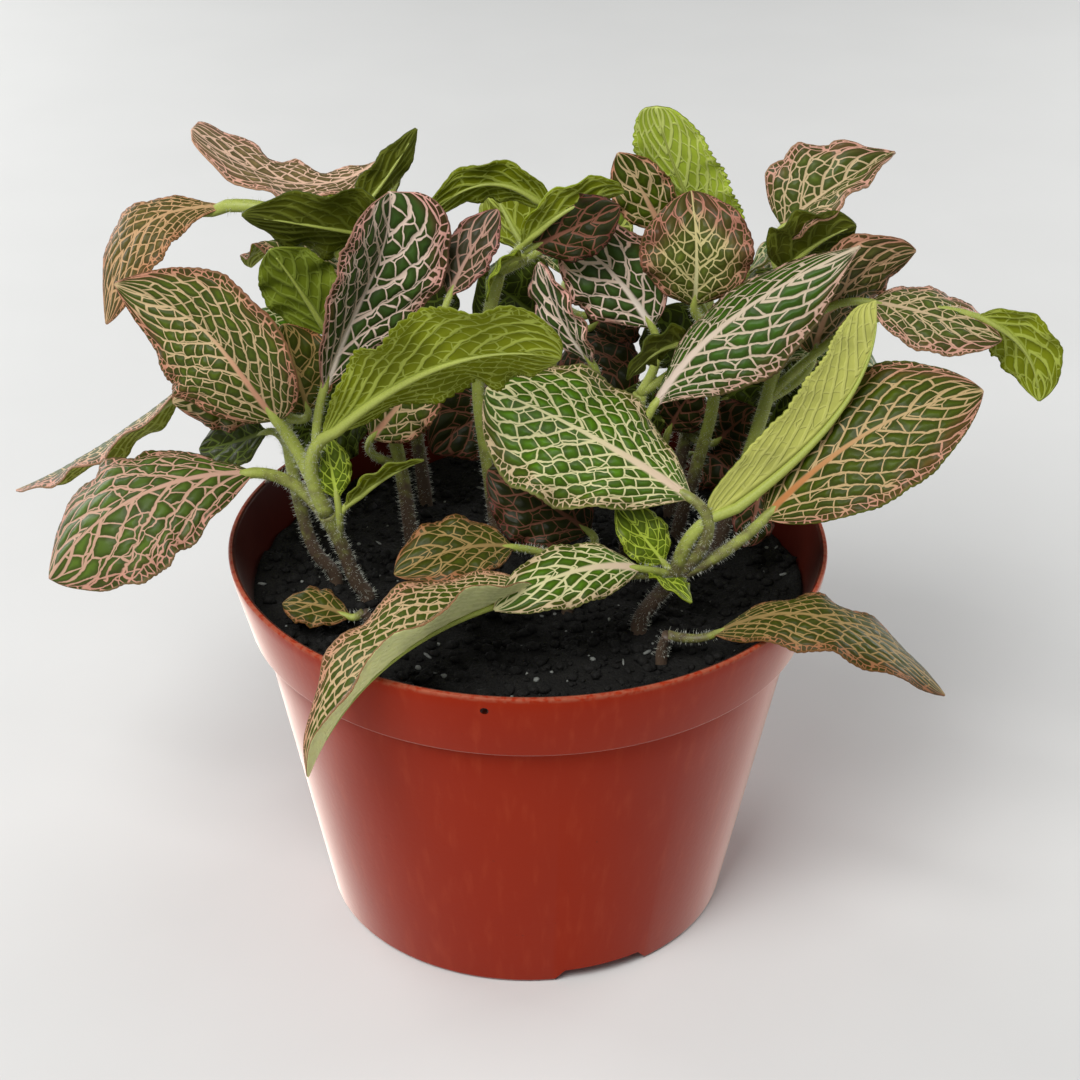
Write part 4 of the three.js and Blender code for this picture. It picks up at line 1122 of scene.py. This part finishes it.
# %% [markdown]
# ## A whole shoot
# Stem, blades, petioles and hairs of one shoot go into one mesh, because they grow as one. Each leaf gets
# a seed of its own, so that no two nets are alike.

# %% Growing every shoot
HAIR_SEED = 100
NET_SEED_OF_SHOOT = 0.37
NET_SEED_OF_LEAF = 0.113


def grow(name, shoot, number):
    builder = Builder()
    rng = np.random.default_rng(HAIR_SEED + number)
    curve, radii = stem(builder, shoot)
    rods = [(curve, radii)]
    for i, item in enumerate(shoot["leaves"]):
        start = np.array(shoot["stem"][item["at"]], float)
        seed = number * NET_SEED_OF_SHOOT + i * NET_SEED_OF_LEAF
        spine, up = blade(builder, item, seed)
        rods.append(petiole(builder, item, start, spine, up))
    for path, thick in rods:
        hairs(builder, path, thick, rng)
    return builder.piece(f"{name}_foliage", name)


for number, (name, shoot) in enumerate(SHOOTS.items()):
    made = grow(name, shoot, number)
    print(made.name, triangles(made), "triangles")

# %% [markdown]
# ## Potting mix
# Damp potting mix is nearly black, lumpy and full of crumbs, with a few pale grains of grit. A flat disc
# with a bump map would look like paper. So the surface is raised by two sizes of noise, and loose crumbs
# and grains lie half sunk in it.

# %% Soil finish
PEAT = ((10, 9, 9), (26, 25, 22))
DUST = (70, 68, 66)
GRIT_GREYS = ((64, 66, 64), (142, 144, 138))


def soil_finish():
    material, g, surface = new_material("damp_mix")
    place = g.place_mm()
    lumps = g.noise(place, 0.35, 5.0)
    fine = g.noise(place, 1.6, 4.0)
    base = g.mix(lumps, *paints(*PEAT))
    dust = g.ramp(fine, 0.68, 0.76) * 0.3
    g.feed(surface.inputs["Base Color"], g.mix(dust, base, paint(*DUST)))
    g.feed(surface.inputs["Roughness"], g.ramp(fine, 0.3, 0.7, 0.65, 0.95))
    surface.inputs["Specular IOR Level"].default_value = 0.2
    relief(g, surface, fine, 0.8, 0.6)
    return material


def grit_finish():
    material, g, surface = new_material("pale_grit")
    shade = g.noise(g.place_mm(), 0.9, 3.0)
    g.feed(surface.inputs["Base Color"], g.mix(shade, *paints(*GRIT_GREYS)))
    surface.inputs["Roughness"].default_value = 0.85
    return material


SOIL = soil_finish()
GRIT = grit_finish()
print("mix and grit:", SOIL.name, GRIT.name)

# %% [markdown]
# ### Its surface and crumbs
# The body is a stack of rings: the bumpy top, then the wall that the pot hides, then a flat bottom. The
# crumbs are small balls pulled out of shape, most of them tiny.

# %% Soil surface and crumbs
SOIL_LEVEL = 69.7
SOIL_TOP_RADIUS = 55.3
SOIL_WALL = [(54.2, 66.8), (52.4, 64.5), (51.8, 62.0)]
SOIL_FLOOR_RADIUS = 40.5
SOIL_RINGS = 62
SOIL_SIDES = 168
CRUMBS = 2300
GRAINS = 150
SPLINTERS = 24
STREWN_RADIUS = SOIL_TOP_RADIUS - 1.5
SMALL_ONES = 2.2
SOIL_SEED = 7


def soil_height(x, y):
    slow = 0.6 * math.sin(x / 7 + 1) * math.cos(y / 6) + 0.4 * math.sin((x + y) / 4.3)
    lumps = 1.1 * noise.fractal(Vector((x, y, 3)) * 0.16, 0.9, 2.1, 5)
    return SOIL_LEVEL + slow + lumps


def soil_body(builder):
    """The lumpy top, the wall inside the pot and the flat bottom, in rings from the middle outwards."""
    angles = np.arange(SOIL_SIDES) * 2 * math.pi / SOIL_SIDES
    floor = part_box("potting_mix")[0].z / MM + 0.05
    rings = [(r, None) for r in np.linspace(0.9, SOIL_TOP_RADIUS, SOIL_RINGS)]
    rings += [*SOIL_WALL, (SOIL_FLOOR_RADIUS, floor)]
    points = []
    for radius, height in rings:
        for angle in angles:
            x, y = radius * math.cos(angle), radius * math.sin(angle)
            points.append((x, y, soil_height(x, y) if height is None else height))
    points += [(0, 0, soil_height(0, 0)), (0, 0, floor)]
    walls, caps = rings_closed(len(rings), SOIL_SIDES)
    builder.add(points, [(SOIL, walls), (SOIL, caps)])


def lump_shape():
    """A rough ball of twenty triangles."""
    shape = bmesh.new()
    bmesh.ops.create_icosphere(shape, subdivisions=1, radius=1)
    points = np.array([v.co for v in shape.verts])
    faces = np.array([[v.index for v in f.verts] for f in shape.faces])
    shape.free()
    return points, faces


def scatter(builder, count, sizes, material, rng, longer=1.0):
    """Strews lumps over the mix, each with its own shape, size and turn."""
    points, faces = lump_shape()
    for _ in range(count):
        radius = STREWN_RADIUS * math.sqrt(rng.random())
        angle = rng.random() * 2 * math.pi
        x, y = radius * math.cos(angle), radius * math.sin(angle)
        size = sizes[0] + (sizes[1] - sizes[0]) * rng.random() ** SMALL_ONES
        shape = points * (0.75 + 0.5 * rng.random((len(points), 1))) * size
        shape = shape * (longer, 0.6 + 0.5 * rng.random(), 0.7)
        turn = np.array(Matrix.Rotation(-rng.random() * math.pi, 3, "Z"))
        builder.add(shape @ turn + (x, y, soil_height(x, y) + 0.25 * size), [(material, faces)])


def potting_mix():
    builder = Builder()
    rng = np.random.default_rng(SOIL_SEED)
    soil_body(builder)
    scatter(builder, CRUMBS, (0.35, 1.7), SOIL, rng)
    scatter(builder, GRAINS, (0.25, 0.75), GRIT, rng)
    scatter(builder, SPLINTERS, (0.3, 0.55), GRIT, rng, longer=3.0)
    return builder.piece("potting_mix_surface", "potting_mix")


soil = potting_mix()
print("soil", triangles(soil), "triangles")

# %% [markdown]
# ## The pot's plastic
# The plastic is deep terracotta orange and a little blotchy from moulding. It is satin rather than glossy,
# and where it curves away from the eye it turns pale and milky. Sheen gives that haze without a mirror.
# The lip is painted paler in patches as a highlight, and the inner wall is painted dark as shade from the
# leaves above.

# %% Pot finish
POT_HEIGHT = 80.0
LIP = (POT_HEIGHT - 1.2, POT_HEIGHT - 0.2)
PLASTIC = ((138, 29, 0), (148, 36, 1))
FLOW_MARKS = (180, 74, 40)
SPECKS = (100, 36, 20)
# The colour of the painted highlight on the lip.
LIP_HIGHLIGHT = (164, 104, 80)
# The colour of the painted shade on the inner wall, which lies in the leaves' shadow.
INNER_WALL_SHADE = (34, 12, 8)
HAZE = (255, 236, 226)


def pot_finish(name, inside):
    material, g, surface = new_material(name)
    place = g.place_mm()
    cloud = g.noise(place, 0.035, 3.0)
    speck = g.noise(place, 0.9, 5.0)
    stretched = g.value("ShaderNodeVectorMath", {0: place, 1: (0.5, 0.5, 0.04)}, operation="MULTIPLY")
    streak = g.noise(stretched, 1.0, 3.0)
    base = g.mix(cloud, *paints(*PLASTIC))
    base = g.mix(g.ramp(streak, 0.5, 0.8) * 0.2, base, paint(*FLOW_MARKS))
    finish = g.mix(g.ramp(speck, 0.70, 0.78) * 0.5, base, paint(*SPECKS))
    height = g.value("ShaderNodeSeparateXYZ", {0: place}, "Z")
    # Painted highlight: the lip is painted paler, in patches set by the specks.
    lip_highlight = g.ramp(height, *LIP) * g.ramp(speck, 0.3, 0.6)
    finish = g.mix(lip_highlight * 0.5, finish, paint(*LIP_HIGHLIGHT))
    # Painted shade: the inner wall is painted nearly black, as it lies in the leaves' shadow.
    if inside:
        finish = g.mix(0.85, finish, paint(*INNER_WALL_SHADE))
    g.feed(surface.inputs["Base Color"], finish)
    g.feed(surface.inputs["Roughness"], g.ramp(cloud + speck * 0.3, 0.3, 0.9, 0.32, 0.44))
    surface.inputs["Specular IOR Level"].default_value = 0.05
    surface.inputs["Sheen Weight"].default_value = 0.1 if inside else 1.0
    surface.inputs["Sheen Roughness"].default_value = 0.29
    surface.inputs["Sheen Tint"].default_value = paint(*HAZE)
    relief(g, surface, speck, 0.12, 0.12)
    return material


POT = pot_finish("pot_plastic", False)
POT_SHADED_INSIDE = pot_finish("pot_plastic_shaded_inside", True)
print("pot finishes:", POT.name, POT_SHADED_INSIDE.name)

# %% [markdown]
# ## The pot's shape
# The pot is a thin moulded shell: a tapered wall, a step out to a wider band, and a narrow foot ring with
# notches. Every real edge of it is a little round, and the light on those edges is what makes it look
# moulded. So the section is drawn with its corners rounded and then turned round the axis.

# %% Pot shape
RIM_RADIUS = 60.0
BAND_HEIGHT = 15.0
BAND_FOOT_RADIUS = 56.3
WALL_TOP_RADIUS = 54.2
BASE_RADIUS = 41.5
WALL = 1.3
FLOOR_RISE = 3.0
FOOT_WIDTH = 2.4
HUB_RADIUS = 0.3
POT_SIDES = 180


def pot_section():
    """Radius, height and corner radius of each corner, from the floor's underside round to its top."""
    ledge = POT_HEIGHT - BAND_HEIGHT
    floor_top = FLOOR_RISE + WALL
    slope = (WALL_TOP_RADIUS - BASE_RADIUS) / ledge
    return [
        (BASE_RADIUS - FOOT_WIDTH - 1, FLOOR_RISE, 0.5), (BASE_RADIUS - FOOT_WIDTH, 0, 0.35),
        (BASE_RADIUS, 0, 0.6), (WALL_TOP_RADIUS, ledge, 0.5), (BAND_FOOT_RADIUS, ledge, 0.55),
        (RIM_RADIUS - 0.35, POT_HEIGHT - 2.2, 1.2), (RIM_RADIUS, POT_HEIGHT, 0.5),
        (RIM_RADIUS - WALL, POT_HEIGHT, 0.45), (BAND_FOOT_RADIUS - WALL, ledge + WALL, 0.8),
        (WALL_TOP_RADIUS - WALL, ledge - WALL, 0.8), (BASE_RADIUS + slope * floor_top - WALL, floor_top, 0.8)]


def rounded(corners, steps=5):
    """The section with a short curve in place of each corner."""
    points = []
    places = [np.array(c[:2], float) for c in corners]
    ends = [np.array((HUB_RADIUS, corners[0][1])), *places, np.array((HUB_RADIUS, corners[-1][1]))]
    for before, here, after, corner in zip(ends, ends[1:], ends[2:], corners):
        start = here + (before - here) * min(0.45, corner[2] / np.linalg.norm(before - here))
        end = here + (after - here) * min(0.45, corner[2] / np.linalg.norm(after - here))
        points.extend(arc(start, here, end, steps))
    return np.array([ends[0], *points, ends[-1]])


def turned(section, name):
    """The section turned round the axis, with a small flat disc over each end. The facets start half a
    step off, so that no edge of theirs runs through the middle of a drain hole."""
    around = (np.arange(POT_SIDES) + 0.5) * 2 * math.pi / POT_SIDES
    ring = np.stack([np.cos(around), np.sin(around)], axis=1)
    points = [(r * c, r * s, z) for r, z in section for c, s in ring]
    faces = []
    for i in range(len(section) - 1):
        for k in range(POT_SIDES):
            j = (k + 1) % POT_SIDES
            low, high = i * POT_SIDES, (i + 1) * POT_SIDES
            faces.append((low + k, low + j, high + j, high + k))
    faces.append(tuple(range(POT_SIDES - 1, -1, -1)))
    last = (len(section) - 1) * POT_SIDES
    faces.append(tuple(last + k for k in range(POT_SIDES)))
    mesh = bpy.data.meshes.new(name)
    mesh.from_pydata([(x * MM, y * MM, z * MM) for x, y, z in points], [], faces)
    return bpy.data.objects.new(name, mesh)


print("points of the pot's section:", len(rounded(pot_section())))

# %% [markdown]
# Notches in the foot, drain holes in the floor and the small hole in the band are cut with a Boolean
# modifier, as a drill would, and the cutters are thrown away.

# %% Pot cuts
NOTCH_SIZE = (12, 22, 3.6)
NOTCH_HEIGHT = 0.8
NOTCH_TOP = 0.73
NOTCH_ANGLES = (-68, 52, 172)
DRAIN_ANGLES = range(0, 360, 60)
DRAIN_RADIUS = 3.2
DRAIN_PLACE = (27, 0, FLOOR_RISE)
PIN_ANGLE = -97.3
PIN_RADIUS = 0.8
PIN_PLACE = (RIM_RADIUS - WALL, 0, POT_HEIGHT - 3.2)


def put(made, place, degrees):
    """Moves a cutter to its place on the +X side and turns it about the pot's axis."""
    made.data.transform(Matrix.Translation(Vector(place) * MM))
    made.data.transform(Matrix.Rotation(math.radians(degrees), 4, "Z"))
    return made


def notch(degrees):
    """A block across the foot ring, narrower at its top."""
    bpy.ops.mesh.primitive_cube_add(size=1)
    made = bpy.context.object
    made.data.transform(Matrix.Diagonal((*[s * MM for s in NOTCH_SIZE], 1)))
    for v in made.data.vertices:
        if v.co.z > 0:
            v.co.y *= NOTCH_TOP
    return put(made, (BASE_RADIUS, 0, NOTCH_HEIGHT), degrees)


def drill(radius, depth, place, degrees, lying=False):
    """A rod, upright or pointing at the pot's axis."""
    bpy.ops.mesh.primitive_cylinder_add(vertices=40, radius=radius * MM, depth=depth * MM)
    made = bpy.context.object
    if lying:
        made.data.transform(Matrix.Rotation(math.pi / 2, 4, "Y"))
    return put(made, place, degrees)


def finish_inside(mesh):
    """Gives the inner wall its finish with painted shade: every face above the floor that faces the axis."""
    for face in mesh.polygons:
        outward = face.normal.x * face.center.x + face.normal.y * face.center.y
        face.material_index = int(outward < 0 and face.center.z > (FLOOR_RISE + WALL) * MM)


def make_pot():
    pot = turned(rounded(pot_section()), "nursery_pot")
    bpy.context.scene.collection.objects.link(pot)
    cutters = [notch(a) for a in NOTCH_ANGLES]
    cutters += [drill(DRAIN_RADIUS, 5.2, DRAIN_PLACE, a) for a in DRAIN_ANGLES]
    cutters.append(drill(PIN_RADIUS, 6, PIN_PLACE, PIN_ANGLE, lying=True))
    for tool in cutters:
        cut = pot.modifiers.new("cut", "BOOLEAN")
        cut.object = tool
        cut.solver = "EXACT"
    shaped = pot.evaluated_get(bpy.context.evaluated_depsgraph_get())
    pot.data = bpy.data.meshes.new_from_object(shaped)
    pot.modifiers.clear()
    for tool in cutters:
        bpy.data.objects.remove(tool)
    pot.data.materials.clear()
    pot.data.materials.append(POT)
    pot.data.materials.append(POT_SHADED_INSIDE)
    finish_inside(pot.data)
    pot.data.set_sharp_from_angle(angle=math.radians(35))
    pot.data.polygons.foreach_set("use_smooth", [True] * len(pot.data.polygons))
    return settle(pot, "pot")


pot = make_pot()
print("pot", triangles(pot), "triangles")

# %% [markdown]
# ## The floor
# A wide, plain, pale floor catches a soft shadow. It isn't part of the plant.

# %% Floor
FLOOR_GREYS = ((204, 204, 202), (210, 210, 208))
FLOOR_RADIUS = 3.0
FLOOR_LEVEL = -0.2 * MM


def make_floor():
    place = (0, 0, FLOOR_LEVEL)
    bpy.ops.mesh.primitive_circle_add(vertices=96, radius=FLOOR_RADIUS, fill_type="NGON", location=place)
    floor = bpy.context.object
    floor.name = "floor"
    material, g, surface = new_material("pale_floor")
    grain = g.noise(g.place_mm(), 0.02, 3.0)
    g.feed(surface.inputs["Base Color"], g.mix(grain, *paints(*FLOOR_GREYS)))
    surface.inputs["Roughness"].default_value = 0.7
    floor.data.materials.append(material)


make_floor()
print("floor radius, m:", FLOOR_RADIUS)
